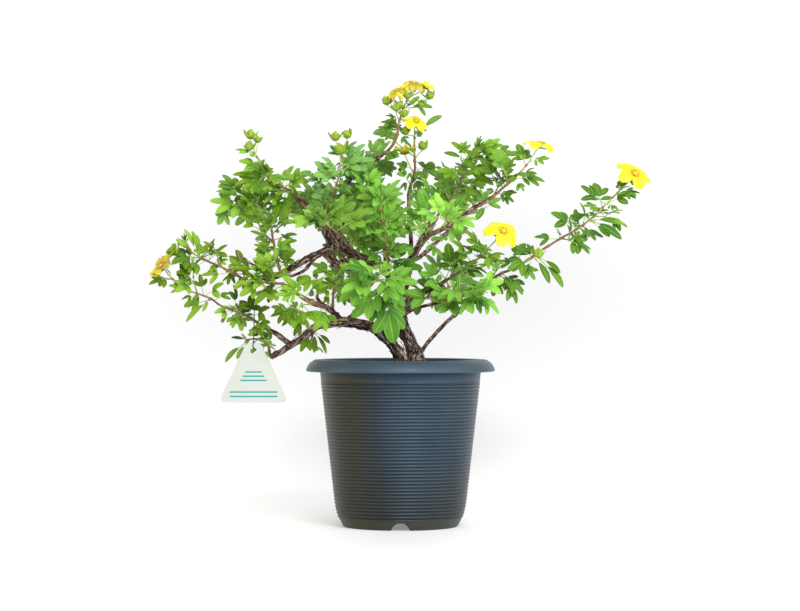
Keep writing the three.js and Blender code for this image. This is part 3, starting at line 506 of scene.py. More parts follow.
def wall_radius(height):
    """Outside radius of the wall: straight above the turn, and rounded in to the foot."""
    if height >= WALL_TURN_HEIGHT:
        share = (height - WALL_TURN_HEIGHT) / (LIP_BOTTOM - WALL_TURN_HEIGHT)
        return WALL_TURN_RADIUS + (WALL_TOP_RADIUS - WALL_TURN_RADIUS) * share
    drop = 1 - height / WALL_TURN_HEIGHT
    return WALL_TURN_RADIUS - (WALL_TURN_RADIUS - FOOT_RADIUS) * (0.42 * drop + 0.58 * drop**4)


def lip_crown():
    """The rolled top of the lip, with a shallow bead pressed into it."""
    points = []
    for i in range(LIP_STEPS + 1):
        angle = i / LIP_STEPS * math.pi / 2
        bead = LIP_BEAD * math.exp(-((i / LIP_STEPS - LIP_BEAD_AT) * LIP_STEPS) ** 2)
        rise = (POT_HEIGHT - LIP_BOTTOM - 0.5) * math.sin(angle) ** LIP_FLATNESS
        points.append((LIP_RADIUS - CROWN_INSET + CROWN_INSET * math.cos(angle) ** LIP_FLATNESS,
                       LIP_BOTTOM + 0.5 + rise - bead))
    return points


def pot_profile():
    """Radius and height, once round the wall's section, and how many of the first are not ribbed."""
    inner_foot = FOOT_RADIUS - FOOT_WIDTH
    inside = WALL_TOP_RADIUS - WALL_THICKNESS
    foot = [(inner_foot, FLOOR_UNDERSIDE), (inner_foot, FOOT_EDGE), (inner_foot + FOOT_EDGE, 0),
            (FOOT_RADIUS - FOOT_EDGE, 0)]
    wall = [(wall_radius(z), z) for z in np.arange(FOOT_EDGE, LIP_BOTTOM, RIB_PITCH / RINGS_PER_RIB)]
    under_lip = [(WALL_TOP_RADIUS + 0.6, LIP_BOTTOM + 5.5), (LIP_RADIUS - 2.2, LIP_BOTTOM + 0.5),
                 (LIP_RADIUS - 1.3, LIP_BOTTOM)]
    mouth = [(inside + 1.8, POT_HEIGHT), (inside + 0.5, POT_HEIGHT - 0.6), (inside, POT_HEIGHT - 2)]
    lining = [(wall_radius(z) - WALL_THICKNESS, z)
              for z in np.linspace(LIP_BOTTOM, FLOOR_UNDERSIDE + FLOOR_THICKNESS, 14)]
    rest = under_lip + lip_crown() + mouth + lining
    return foot + wall + rest, [0] * len(foot) + [1] * len(wall) + [0] * len(rest)


def lathe(section, segments, closed=False):
    """Turns a section of (radius, height) round the Z axis. A closed section makes a ring."""
    angles = np.arange(segments) * FULL_TURN / segments
    rings = [np.column_stack([r * np.cos(angles), r * np.sin(angles), z + 0 * angles]) for r, z in section]
    return np.concatenate(rings), ring_faces(len(section), segments, closed=closed)


section, is_ribbed = pot_profile()
pot_points, pot_faces = lathe(section, POT_SEGMENTS, closed=True)
print("Pot section points:", len(section))

# %% [markdown]
# Four round notches in the foot let water run out. Cutting them would cost a boolean on a dense
# mesh. Lifting the foot's lower points onto an arc does the same, and leaves the rings intact.

# %% Foot notches
NOTCH_RADIUS = 7.8
NOTCH_DROP = 1.6
NOTCH_COUNT = 4


def lift_notches(points):
    """Squeezes the foot's lower edge up over a round arch at each notch."""
    for i in range(NOTCH_COUNT):
        turn = i * FULL_TURN / NOTCH_COUNT - math.pi / 2
        ahead = points[:, 0] * math.cos(turn) + points[:, 1] * math.sin(turn)
        beside = -points[:, 0] * math.sin(turn) + points[:, 1] * math.cos(turn)
        arch = np.sqrt(np.clip(NOTCH_RADIUS**2 - beside**2, 0, None)) - NOTCH_DROP
        low = (ahead > 0) & (points[:, 2] < FLOOR_UNDERSIDE) & (arch > 0)
        points[low, 2] = arch[low] + points[low, 2] * (1 - arch[low] / FLOOR_UNDERSIDE)
    return points


ribbed_pot = make_piece("ribbed_pot", lift_notches(pot_points), pot_faces,
                        attributes={"on_ribs": np.repeat(is_ribbed, POT_SEGMENTS)})
print("Height of a notch in mm:", round(NOTCH_RADIUS - NOTCH_DROP, 1))

# %% [markdown]
# The plastic is a dark slate blue. Low down and on its left it is painted olive, as a painted warm
# reflection.

# %% Slate plastic
slate = Finish("slate_plastic", "#333e47", "#3a4650", 22, grain=900, relief=0.12, gloss=(0.38, 0.5))
slate.shader["Specular IOR Level"].default_value = 0.38
slate.shader["Specular Tint"].default_value = tint("#b8d6f6")
position = place(slate.tree, "ShaderNodeNewGeometry").outputs["Position"]
across_pot = place(slate.tree, "ShaderNodeSeparateXYZ", {0: position}).outputs
below_lip = calculate(slate.tree, "LESS_THAN", across_pot["Z"], LIP_BOTTOM * MM)
# Painted warm reflection: olive towards the left side and towards the foot, below the lip.
for axis, start, end, most in (("X", -0.008, -0.04, 1.0), ("Z", 0.07, 0.002, 0.75)):
    warm_reflection = ramp(slate.tree, across_pot[axis], start, end, most=most)
    slate.stain(calculate(slate.tree, "MULTIPLY", warm_reflection, below_lip), "#393008")
# Painted shade: the grooves between the ribs and a band just under the lip are darkened.
slate.stain(slate.read("groove"), "#05080a", 0.82)
print("Finish:", slate.material.name)

# %% [markdown]
# Each rib is a low rounded ring. The tree reads a point's height, works out how near it is to the
# middle of a rib, and pushes it out by that much, only on the outer wall and inside the band. It
# also stores the grooves and a band just under the lip, which the finish darkens as painted shade.

# %% Raise the ribs with Geometry Nodes
def build_rib_tree():
    tree, given, result = geometry_tree("raise_ribs", Pitch=FLOAT, Depth=FLOAT, Bottom=FLOAT, Top=FLOAT)
    where = place(tree, "GeometryNodeInputPosition").outputs[0]
    parts = place(tree, "ShaderNodeSeparateXYZ", {0: where}).outputs
    height, on_ribs = parts["Z"], named(tree, "on_ribs")

    def times(*values):
        return calculate(tree, "MULTIPLY", *values)

    turns = calculate(tree, "DIVIDE", calculate(tree, "SUBTRACT", height, given["Bottom"]), given["Pitch"])
    wave = calculate(tree, "COSINE", times(turns, FULL_TURN))
    crest = calculate(tree, "POWER", calculate(tree, "MULTIPLY_ADD", wave, 0.5, 0.5), 2.0)
    inside = times(calculate(tree, "GREATER_THAN", height, given["Bottom"]),
                   calculate(tree, "LESS_THAN", height, given["Top"]))
    amount = times(times(crest, inside), on_ribs)
    groove = calculate(tree, "SUBTRACT", times(inside, on_ribs), amount)
    # A band of painted shade just under the lip.
    under_lip_shade = ramp(tree, height, (LIP_BOTTOM - LIP_SHADE) * MM, LIP_BOTTOM * MM)
    groove = calculate(tree, "MAXIMUM", groove, times(under_lip_shade, on_ribs))
    stored = store(tree, given["Geometry"], "groove", groove)
    level = place(tree, "ShaderNodeCombineXYZ", {"X": parts["X"], "Y": parts["Y"]}).outputs[0]
    offset = combine(tree, "SCALE", combine(tree, "NORMALIZE", level), Scale=times(amount, given["Depth"]))
    return close_tree(tree, move(tree, stored, offset), given, result)


run_tree(ribbed_pot, build_rib_tree(), slate, Pitch=RIB_PITCH * MM, Depth=RIB_DEPTH * MM,
         Bottom=RIB_BAND[0] * MM, Top=RIB_BAND[1] * MM)
seat(face_outwards(ribbed_pot), "pot", "pot")

# %% [markdown]
# The pot's floor shows only from below: a plate with six drain holes round a central pad. A flat
# filled curve takes the holes as inner outlines, and its bevel softens every edge.

# %% Pot floor
DRAIN_RADIUS = 3.5
DRAIN_CIRCLE = 29
DRAIN_COUNT = 6
PAD_RADIUS = 14
PAD_BOTTOM = 3
PAD_TOP = FLOOR_UNDERSIDE + 1


def flat_plate(name, outlines, thickness, bevel, finish):
    """A plate filled between closed outlines in the XY plane, as a mesh centred on that plane."""
    curve = bpy.data.curves.new(name, "CURVE")
    curve.dimensions = "2D"
    curve.fill_mode = "BOTH"
    curve.extrude = (thickness / 2 - bevel) * MM
    curve.bevel_depth = bevel * MM
    curve.offset = -bevel * MM
    curve.bevel_resolution = 1
    for outline in outlines:
        spline = curve.splines.new("POLY")
        spline.points.add(len(outline) - 1)
        spline.points.foreach_set("co", [v for x, y in outline for v in (x * MM, y * MM, 0, 1)])
        spline.use_cyclic_u = True
    holder = put(name, curve)
    mesh = bpy.data.meshes.new_from_object(holder.evaluated_get(bpy.context.evaluated_depsgraph_get()))
    bpy.data.objects.remove(holder)
    mesh.materials.clear()
    mesh.materials.append(finish.material)
    return put(name, mesh)


def circle(radius, count, centre=(0, 0)):
    turns = [i * FULL_TURN / count for i in range(count)]
    return [(centre[0] + radius * math.cos(t), centre[1] + radius * math.sin(t)) for t in turns]


outlines = [circle(FOOT_RADIUS - 1.5, 64)]
for i in range(DRAIN_COUNT):
    turn = (i + 0.5) * FULL_TURN / DRAIN_COUNT
    outlines.append(circle(DRAIN_RADIUS, 20, (DRAIN_CIRCLE * math.cos(turn), DRAIN_CIRCLE * math.sin(turn))))
pot_floor = flat_plate("pot_floor", outlines, FLOOR_THICKNESS, 0.3, slate)
pot_floor.data.transform(Matrix.Translation((0, 0, (FLOOR_UNDERSIDE + FLOOR_THICKNESS / 2) * MM)))
seat(face_outwards(pot_floor), "pot", "pot")

pad_section = [(0.01, PAD_BOTTOM), (PAD_RADIUS - 0.5, PAD_BOTTOM), (PAD_RADIUS, PAD_BOTTOM + 0.5),
               (PAD_RADIUS, PAD_TOP), (0.01, PAD_TOP)]
pot_pad = make_piece("pot_pad", *lathe(pad_section, 48), slate, smooth=False)
seat(face_outwards(pot_pad), "pot", "pot")

# %% [markdown]
# Dark compost fills the pot to just below the rim. A smooth disc would look like a lid, so the tree
# roughens its top with noise and strews it with crumbs and chips of a few shapes. One number per
# crumb decides whether it is dark, bark-brown or a pale grain of perlite.

# %% Crumb shapes
def crumb_shape(name, stretch, seed):
    """A small uneven lump of 20 faces, about one unit across."""
    shape = bmesh.new()
    bmesh.ops.create_icosphere(shape, subdivisions=1, radius=0.5)
    for vertex, size in zip(shape.verts, np.random.default_rng(seed).uniform(0.7, 1.1, len(shape.verts))):
        vertex.co = Vector(np.array(vertex.co) * size * stretch)
    mesh = bpy.data.meshes.new(name)
    shape.to_mesh(mesh)
    shape.free()
    return bpy.data.objects.new(name, mesh)


def pattern_set(name, shapes):
    """A collection outside the scene, whose objects a tree picks by their order."""
    patterns = bpy.data.collections.new(name)
    for shape in shapes:
        patterns.objects.link(shape)
    return patterns


def drop_patterns(patterns):
    for shape in list(patterns.objects):
        bpy.data.objects.remove(shape)
    bpy.data.collections.remove(patterns)


CRUMB_STRETCHES = ((1.0, 0.9, 0.7), (1.2, 0.8, 0.8), (2.6, 0.7, 0.4))
crumbs = pattern_set("crumb_shapes", [
    crumb_shape(f"crumb_{i}", stretch, i + 1) for i, stretch in enumerate(CRUMB_STRETCHES)
])

# %% Soil finish
compost = Finish("compost", "#33241a", "#1d140e", 260, grain=1400, relief=0.8, gloss=(0.8, 0.98))
compost.stain_range("crumb", 0.45, 0.6, "#5a3d28", 0.8)
compost.stain(calculate(compost.tree, "GREATER_THAN", compost.read("crumb"), 0.965), "#cfc8b8")
print("Finish:", compost.material.name)

# %% Potting soil
SOIL_TOP = 133.5
SOIL_FLOOR = 9.8
SOIL_INSET = 2.6
SOIL_SEGMENTS = 96
SOIL_RINGS = 36
SOIL_DIP = 1.3
SOIL_BUMP = 4
CRUMB_SIZES = (0.6, 2.4)
CRUMBS_PER_AREA = 130000


def soil_section():
    """Radius and height, from the underside's middle out and up to the top's, and the roughness."""
    heights = np.linspace(SOIL_FLOOR, SOIL_TOP - SOIL_DIP, 10)
    rows = [(0, SOIL_FLOOR)] + [(wall_radius(height) - SOIL_INSET, height) for height in heights]
    edge = rows[-1][0]
    top = [(edge * (1 - i / SOIL_RINGS), SOIL_TOP - SOIL_DIP) for i in range(1, SOIL_RINGS + 1)]
    return rows + top, [0] * len(rows) + [min(1, i / 3) for i in range(1, SOIL_RINGS + 1)]


def build_soil_tree():
    tree, given, result = geometry_tree(
        "crumbly_soil", Bump=FLOAT, Crumbs="NodeSocketCollection", Density=FLOAT
    )
    on_top = named(tree, "on_top")

    def random_value(seed, low, high):
        sockets = {2: low, 3: high, "Seed": seed}
        return place(tree, "FunctionNodeRandomValue", sockets).outputs[1]

    noise = place(tree, "ShaderNodeTexNoise", {"Scale": 110.0, "Detail": 5.0}).outputs[0]
    rise = calculate(tree, "MULTIPLY", calculate(tree, "SUBTRACT", noise, 0.45), given["Bump"])
    rise = calculate(tree, "MULTIPLY", rise, on_top)
    offset = place(tree, "ShaderNodeCombineXYZ", {"Z": rise}).outputs[0]
    ground = move(tree, given["Geometry"], offset)
    spots = place(tree, "GeometryNodeDistributePointsOnFaces", {
        "Mesh": ground, "Selection": calculate(tree, "GREATER_THAN", on_top, 0.9),
        "Density": given["Density"], "Seed": 5}).outputs["Points"]
    turn = place(tree, "FunctionNodeRandomValue", {0: (0, 0, 0), 1: (6.28, 6.28, 6.28), "Seed": 6},
                 data_type="FLOAT_VECTOR").outputs[0]
    turn = place(tree, "FunctionNodeEulerToRotation", {0: turn}).outputs[0]
    size = random_value(7, CRUMB_SIZES[0] * MM, CRUMB_SIZES[1] * MM)
    strewn = deal_out(tree, spots, given["Crumbs"], Rotation=turn, Scale=size)
    marked = store(tree, strewn, "crumb", random_value(8, 0.05, 1.0), "INSTANCE")
    both = place(tree, "GeometryNodeJoinGeometry")
    for part in (ground, marked):
        tree.links.new(part, both.inputs[0])
    return close_tree(tree, both.outputs[0], given, result)


section, roughness = soil_section()
potting_soil = make_piece("potting_soil", *lathe(section, SOIL_SEGMENTS),
                          attributes={"on_top": np.repeat(roughness, SOIL_SEGMENTS)})
run_tree(face_outwards(potting_soil), build_soil_tree(), compost, Bump=SOIL_BUMP * MM, Crumbs=crumbs,
         Density=CRUMBS_PER_AREA)
drop_patterns(crumbs)
seat(potting_soil, "soil", "soil")

# %% [markdown]
# The CAD part draws every limb and stem along a smooth curve through a few points. Here the same
# curve is written again, so that bark and leaves land where the solids are. A limb's points and
# radii are in millimetres, from the part's own list.

# %% Routes
CURVE_DIVISIONS = 200
NEARBY = 0.0001
UP = np.array([0, 0, 1.0])
FRONT = np.array([0, -1.0, 0])


def unit(vector):
    return vector / np.linalg.norm(vector)


class Route:
    """A smooth curve through points, walked by the share of its length."""

    def __init__(self, points):
        points = np.array(points, float)
        self.last = len(points) - 1
        self.points = np.vstack([2 * points[0] - points[1], points, 2 * points[-1] - points[-2]])
        self.shares = np.linspace(0, 1, CURVE_DIVISIONS + 1)
        steps = np.linalg.norm(np.diff(self.along(self.shares), axis=0), axis=1)
        self.walked = np.concatenate([[0], np.cumsum(steps)])
        self.length = self.walked[-1]

    def along(self, parameter):
        """Each stretch leaves and arrives with half of the step between its neighbours."""
        spot = np.clip(np.asarray(parameter, float), 0, 1) * self.last
        i = np.minimum(spot.astype(int), self.last - 1)
        w = (spot - i)[..., None]
        before, start, end, after = (self.points[i + k] for k in range(4))
        leave = (end - before) / 2
        arrive = (after - start) / 2
        bend = 3 * (end - start) - 2 * leave - arrive
        return start + leave * w + bend * w**2 + (2 * (start - end) + leave + arrive) * w**3

    def parameter(self, share):
        return np.interp(np.asarray(share) * self.length, self.walked, self.shares)

    def point(self, share):
        return self.along(self.parameter(share))

    def tangent(self, share):
        at = self.parameter(share)
        return unit(self.along(at + NEARBY) - self.along(at - NEARBY))


def sides_along(line):
    """Two side directions at each point of a line, which turn as little as possible along it."""
    ways = np.gradient(line, axis=0)
    ways /= np.linalg.norm(ways, axis=1, keepdims=True)
    side = np.cross(ways[0], UP if abs(ways[0][2]) < 0.9 else (1, 0, 0))
    sides = []
    for way in ways:
        side = unit(side - way * (side @ way))
        sides.append(side)
    sides = np.array(sides)
    return sides, np.cross(ways, sides)


# %% Limb table
LIMBS = [
    dict(name="trunk", base=6.9, tip=3.1, flare=2.4, grounded=True,
         route=[[17, 0, 128], [14, 0, 142], [9, 0, 153], [3, 2, 166], [-1, 4, 180], [-3, 4, 193],
                [-4, 3, 202]]),
    dict(name="low_left_arch", base=4.4, tip=2.2, flare=1.4, grounded=True,
         nodes=["low_left_riser", "low_left_arch"],
         route=[[5, -8, 128], [1, -8, 142], [-4, -8, 150], [-11, -9, 157], [-18, -10, 165], [-24, -10, 169],
                [-32, -10, 171], [-45, -12, 173], [-58, -12, 172], [-70, -11, 169], [-82, -9, 162],
                [-95, -8, 152], [-110, -8, 143]]),
    dict(name="left_crown_bough", base=2.6, tip=3.5,
         route=[[-4, 3, 203], [-9, 6, 211], [-15, 9, 220], [-24, 12, 225], [-36, 14, 229.5], [-49, 13, 237],
                [-58, 11, 244]]),
    dict(name="right_crown_bough", base=3.0, tip=2.1,
         route=[[-3, 3, 201], [2, 0, 212], [6, -3, 220], [11, -5, 230], [17, -6, 240], [25, -4, 253],
                [31, -2, 263]]),
    dict(name="right_twin_bough", base=1.9, tip=1.5,
         route=[[-1, 4, 188], [5, 9, 203], [9, 12, 219], [13, 13, 231], [18, 13, 242], [24, 12, 255],
                [28, 10, 265]]),
    dict(name="right_upper_branch", base=2.1, tip=1.6,
         route=[[20, -6, 245], [28, -10, 249], [39, -14, 254], [51, -18, 262], [61, -20, 269],
                [74, -22, 276]]),
    dict(name="far_right_bough", base=1.6, tip=1.6,
         route=[[16, -1, 146], [28, -4, 162], [40, -8, 174], [48, -11, 181], [55, -14, 189], [65, -18, 199],
                [72, -21, 206]]),
    dict(name="mid_right_bough", base=2.0, tip=1.6,
         route=[[-1, 4, 186], [10, -6, 194], [21, -16, 199], [31, -24, 203], [39, -30, 209]]),
    dict(name="low_right_bough", base=1.5, tip=1.2,
         route=[[0, 3, 177], [9, -8, 183], [20, -18, 187], [32, -27, 190]]),
    dict(name="right_back_stub", base=2.3, tip=1.7, route=[[0, 4, 181], [11, 19, 188], [20, 36, 193]]),
    dict(name="left_rising_bough", base=2.5, tip=1.6,
         route=[[-49, -12, 173], [-56, -15, 180], [-62, -18, 186], [-74, -20, 190], [-85, -22, 196],
                [-94, -24, 204]]),
    dict(name="left_low_stub", base=1.9, tip=1.5,
         route=[[-60, -12, 172], [-70, -16, 174], [-77, -20, 179]]),
    dict(name="left_fork_bough", base=2.2, tip=1.6,
         route=[[-93, -8, 154], [-99, -9, 159], [-104, -10, 163], [-112, -11, 167], [-120, -12, 172]]),
    dict(name="left_long_bough", base=2.9, tip=2.0,
         route=[[-55, 11, 241], [-61, 8, 236], [-72, 4, 230], [-84, -2, 224], [-93, -8, 219],
                [-103, -14, 213], [-115, -20, 208], [-124, -25, 204], [-132, -28, 201]]),
    dict(name="dead_twig", base=1.6, tip=0.5,
         route=[[-103, -14, 213], [-112, -18, 216], [-121, -21, 220], [-130, -23, 225], [-136, -24, 230],
                [-139, -24, 234]]),
    dict(name="upper_left_bough", base=3.4, tip=1.8,
         route=[[-58, 11, 243], [-63, 9, 249], [-69, 7, 258], [-75, 5, 266], [-82, 2, 274], [-88, 0, 280]]),
    dict(name="leader_bough", base=3.1, tip=1.7,
         route=[[-54, 12, 242], [-51, 18, 263], [-48, 20, 282], [-43, 19, 296], [-36, 16, 304],
                [-27, 11, 309], [-17, 5, 314]]),
    dict(name="centre_bough", base=1.9, tip=1.5,
         route=[[9, -3, 226], [9, 10, 239], [8, 19, 256], [7, 23, 272], [7, 24, 285]]),
    dict(name="front_low_bough", base=2.2, tip=1.7,
         route=[[-2, 4, 190], [-5, -12, 194], [-9, -28, 198], [-12, -42, 203]]),
    dict(name="back_centre_bough", base=2.2, tip=1.6,
         route=[[-3, 4, 194], [-8, 24, 206], [-12, 42, 221], [-14, 56, 236]]),
    dict(name="back_right_bough", base=1.9, tip=1.6,
         route=[[9, -4, 226], [18, 20, 230], [28, 41, 239], [39, 58, 250]]),
    dict(name="back_low_bough", base=2.3, tip=1.6,
         route=[[1, 4, 174], [-6, 24, 183], [-14, 48, 191], [-25, 70, 198]]),
]
routes = {limb["name"]: Route(limb["route"]) for limb in LIMBS}
print("Limbs:", len(LIMBS), "total length in mm:", round(sum(route.length for route in routes.values())))

# %% [markdown]
# Old cinquefoil bark is dark and comes away in long grey shreds, over a redder layer. Younger wood
# is smoother and warmer. One finish serves both. It reads two attributes that the bark's tree
# stores: how high a spot stands above the furrows, and how young the wood is.

# %% Bark finish
bark = Finish("shreddy_bark", "#47322a", "#251710", 160, grain=1500, relief=1.0, gloss=(0.6, 0.9))
bark.shader["Specular IOR Level"].default_value = 0.3
bark.stain(bark.read("youth"), "#63392a", 0.75)
bark.stain_range("ridge", 0.56, 0.74, "#b39c8b", 0.78)
# The furrows are darkened: partly the bark's own dark colour, partly painted shade.
bark.stain_range("ridge", 0.52, 0.36, "#120907", 0.95)
print("Finish:", bark.material.name)

# %% [markdown]
# A limb is a tube with rings less than a millimetre apart. Its radius wanders, swells into knots
# and, on old wood, is fluted as if strands had grown together. The tree then lifts plates of bark
# with noise that is stretched along the limb. The noise reads the limb's own unrolled position,
# stored on its points, so the shreds follow every bend.

# %% Raise the bark with Geometry Nodes
def build_bark_tree():
    tree, given, result = geometry_tree("raise_bark", Depth=FLOAT)
    grain = named(tree, "grain", "FLOAT_VECTOR")
    plates = place(tree, "ShaderNodeTexNoise", {"Vector": grain, "Scale": 0.62, "Detail": 3.0,
                                                "Roughness": 0.55, "Distortion": 0.5}).outputs[0]
    fibres = place(tree, "ShaderNodeTexNoise", {"Vector": grain, "Scale": 1.7, "Detail": 2.0}).outputs[0]
    gap = calculate(tree, "ABSOLUTE", calculate(tree, "SUBTRACT", plates, 0.5))
    strand = calculate(tree, "MULTIPLY", fibres, 0.62)
    ridge = calculate(tree, "MULTIPLY_ADD", ramp(tree, gap, 0.0, 0.09), 0.4, strand)
    depth = calculate(tree, "MULTIPLY", named(tree, "relief"), given["Depth"])
    push = calculate(tree, "MULTIPLY", calculate(tree, "SUBTRACT", ridge, 0.5), depth)
    offset = combine(tree, "SCALE", place(tree, "GeometryNodeInputNormal").outputs[0], Scale=push)
    return close_tree(tree, move(tree, store(tree, given["Geometry"], "ridge", ridge), offset), given, result)


bark_relief = build_bark_tree()

# %% Limb tubes
RING_STEP = 0.8
SIDE_STEP = 0.85
SIDE_COUNTS = (12, 56)
FLARE_LENGTH = 10
BARK_DEPTH = 1.5
SOIL_LINE = SOIL_TOP - SOIL_DIP - 1
KNOT_SPACING = 10
KNOT_LENGTHS = (1.0, 2.2)
KNOT_SWELLING = (0.2, 0.5)
KNOT_NARROWNESS = 6
OLD_WOOD_FROM = 1.7
OLD_WOOD_FULL = 3.9
JITTER = 0.2
JITTER_REACH = 7
JITTER_EASE = 8
ROOT_SWELLING = 0.3
ROOT_REACH = 4
GRAIN_STRETCH = 7
GRAIN_TWIST = 26
WIDE_FLUTE = 0.12
FINE_FLUTE = 0.09
STRAY_FLUTE = 0.1
YOUNG_FLUTES = 0.45
OLD_FLUTES = 0.9
END_ROUNDNESS = 0.96
FULL_RELIEF_RADIUS = 3.4
RELIEF_RANGE = (0.25, 2.2)
WANDER_WAVES = (1.0, 1.7, 2.9, 4.3)
WANDER_HEIGHT = 1.6


def wander(values, seed, reach):
    """A smooth seeded wave between about -1 and 1 that does not repeat along a limb."""
    starts = np.random.default_rng(seed).uniform(0, FULL_TURN, len(WANDER_WAVES))
    waves = zip(WANDER_WAVES, starts)
    return sum(np.sin(values / reach * k + start) / k for k, start in waves) / WANDER_HEIGHT


def limb_radius(limb, share):
    taper = limb["base"] + (limb["tip"] - limb["base"]) * share
    return taper + limb.get("flare", 0) * np.exp(-share * Route(limb["route"]).length / FLARE_LENGTH)


def limb_surface(limb, seed):
    """Centre line, radius at every ring and side, the sides' angles, distances and how old it is."""
    route = Route(limb["route"])
    shares = np.linspace(0, 1, max(8, round(route.length / RING_STEP)))
    line = route.point(shares)
    if limb.get("grounded"):
        above = line[:, 2] > SOIL_LINE
        shares, line = shares[above], line[above]
    distance = shares * route.length
    along = distance[:, None]
    radius = limb_radius(limb, shares)
    sides = int(np.clip(round(FULL_TURN * radius.max() / SIDE_STEP), *SIDE_COUNTS))
    angle = np.arange(sides) * FULL_TURN / sides
    old = np.clip((radius - OLD_WOOD_FROM) / (OLD_WOOD_FULL - OLD_WOOD_FROM), 0, 1)[:, None]
    jitter = np.column_stack([wander(distance, seed + k, JITTER_REACH) for k in range(3)])
    ease = np.clip(np.minimum(distance, route.length - distance) / JITTER_EASE, 0, 1)
    jitter *= (JITTER * radius * ease)[:, None]
    flutes = WIDE_FLUTE * np.cos(3 * angle + along / 9 + seed)
    flutes = flutes + FINE_FLUTE * np.cos(5 * angle - along / 13 + 2 * seed)
    flutes += STRAY_FLUTE * wander(along + 5 * np.cos(angle[None] + seed), seed + 9, 5)
    swelling = 1 + flutes * (YOUNG_FLUTES + OLD_FLUTES * old)
    rng = np.random.default_rng(seed)
    for _ in range(int(route.length / KNOT_SPACING)):
        centre, turn = rng.uniform(0, route.length), rng.uniform(0, FULL_TURN)
        near = np.exp(-((along - centre) / rng.uniform(*KNOT_LENGTHS)) ** 2)
        lump = np.exp(-(1 - np.cos(angle - turn)) * KNOT_NARROWNESS)
        swelling += rng.uniform(*KNOT_SWELLING) * near * lump
    if not limb.get("grounded"):
        swelling *= 1 + ROOT_SWELLING * np.exp(-along / ROOT_REACH)
    rounding = np.sqrt(1 - np.clip(1 - (route.length - distance) / radius, 0, 1) ** 2 * END_ROUNDNESS)
    return line + jitter, (radius * rounding)[:, None] * swelling, angle, along, old


def bark_tube(limb, seed):
    line, radius, angle, along, old = limb_surface(limb, seed)
    side, other = sides_along(line)
    around = np.cos(angle)[None, :, None] * side[:, None] + np.sin(angle)[None, :, None] * other[:, None]
    points = line[:, None] + radius[..., None] * around
    rings, sides = radius.shape
    mean = radius.mean(axis=1, keepdims=True)
    twist = angle + along / GRAIN_TWIST
    length = along / GRAIN_STRETCH + 10 * seed
    grain = np.stack([mean * np.cos(twist), mean * np.sin(twist), length + 0 * twist], axis=-1)
    faces = ring_faces(rings, sides)
    faces.append(tuple(range(sides))[::-1])
    faces.append(tuple(range((rings - 1) * sides, rings * sides)))
    relief = np.clip(mean / FULL_RELIEF_RADIUS, *RELIEF_RANGE)
    attributes = {"grain": grain.reshape(-1, 3), "relief": np.repeat(relief, sides),
                  "youth": np.repeat(np.clip(1.1 - old * 1.3, 0, 1), sides)}
    piece = make_piece(limb["name"] + "_bark", points.reshape(-1, 3), faces, attributes=attributes)
    return run_tree(face_outwards(piece), bark_relief, bark, Depth=BARK_DEPTH * MM)


for seed, limb in enumerate(LIMBS):
    seat(bark_tube(limb, seed), "bark", *limb.get("nodes", [limb["name"]]))

# %% [markdown]
# At the knot, old strands have grown beside the boughs and closed round gaps. Broken stubs stand on
# the old wood too. They are limbs of the same kind, so the same function makes them. They ride
# beside the CAD boughs and stay within the crown.

# %% Strands and stubs
STRANDS = [
    dict(name="knot_strand_low", base=1.9, tip=1.6,
         route=[[-27, 13, 227], [-37, 12, 221], [-48, 11, 219], [-58, 10, 224], [-66, 7, 231]]),
    dict(name="knot_strand_thin", base=1.2, tip=0.9,
         route=[[-40, 10, 230], [-50, 6, 225], [-59, 6, 227], [-64, 8, 235]]),
    dict(name="knot_strand_upper", base=2.0, tip=1.6,
         route=[[-46, 12, 235], [-54, 6, 240], [-58, 7, 248], [-62, 9, 256]]),
    dict(name="knot_rib_left", base=1.0, tip=1.2, route=[[-66, 5, 231], [-61, 2, 226], [-57, 4, 220]]),
    dict(name="knot_rib_middle", base=1.1, tip=1.1, route=[[-60, 4, 233], [-55, 1, 227], [-50, 4, 221]]),
    dict(name="knot_rib_right", base=1.2, tip=1.0, route=[[-54, 4, 235], [-49, 1, 229], [-44, 5, 222]]),
    dict(name="curled_stub", base=1.5, tip=0.8,
         route=[[-60, -15, 184], [-66, -16, 189], [-70, -16, 194], [-69, -16, 199], [-65, -16, 202]]),
    dict(name="cut_stub_left", base=1.4, tip=1.1,
         route=[[-127, -25, 204], [-132, -25, 208], [-136, -25, 210]]),
    dict(name="cut_stub_low", base=1.3, tip=1.0, route=[[-46, -12, 175], [-41, -13, 180], [-39, -13, 184]]),
    dict(name="long_bough_strand", base=1.7, tip=1.2,
         route=[[-62, 8, 237], [-67, 2, 233], [-73, -2, 227], [-81, -6, 218], [-87, -9, 214],
                [-94, -13, 212]]),
    dict(name="arch_strand", base=1.7, tip=1.3,
         route=[[-20, -12, 171], [-32, -14, 174], [-44, -15, 176], [-57, -15, 175], [-69, -14, 172]]),
]
STRAND_SEED = 50
for seed, strand in enumerate(STRANDS):
    seat(bark_tube(strand, STRAND_SEED + seed), "bark")

# %% [markdown]
# Loose shreds are thin ribbons of bark that lie along a limb and curl away at their ends. Each is
# a narrow grid along the limb's route with a small thickness, so it stays a closed shell.

# %% Thin closed blades
def blade_shell(grid, thickness):
    """Points and faces of a closed thin shell on a grid of rows by columns."""
    rows, columns = grid.shape[:2]
    normal = np.cross(np.gradient(grid, axis=0), np.gradient(grid, axis=1))
    normal /= np.linalg.norm(normal, axis=2, keepdims=True) + 1e-9
    points = np.concatenate([(grid + normal * side * thickness / 2).reshape(-1, 3) for side in (1, -1)])
    under = rows * columns
    number = np.arange(under).reshape(rows, columns)
    faces = []
    for a in number[:-1, :-1].ravel().tolist():
        faces.append((a, a + columns, a + columns + 1, a + 1))
        faces.append((under + a, under + a + 1, under + a + columns + 1, under + a + columns))
    rim = [*number[0], *number[1:, -1], *number[-1, -2::-1], *number[-2:0:-1, 0]]
    faces += [(int(a), int(b), int(under + b), int(under + a)) for a, b in zip(rim, rim[1:] + rim[:1])]
    return points, faces


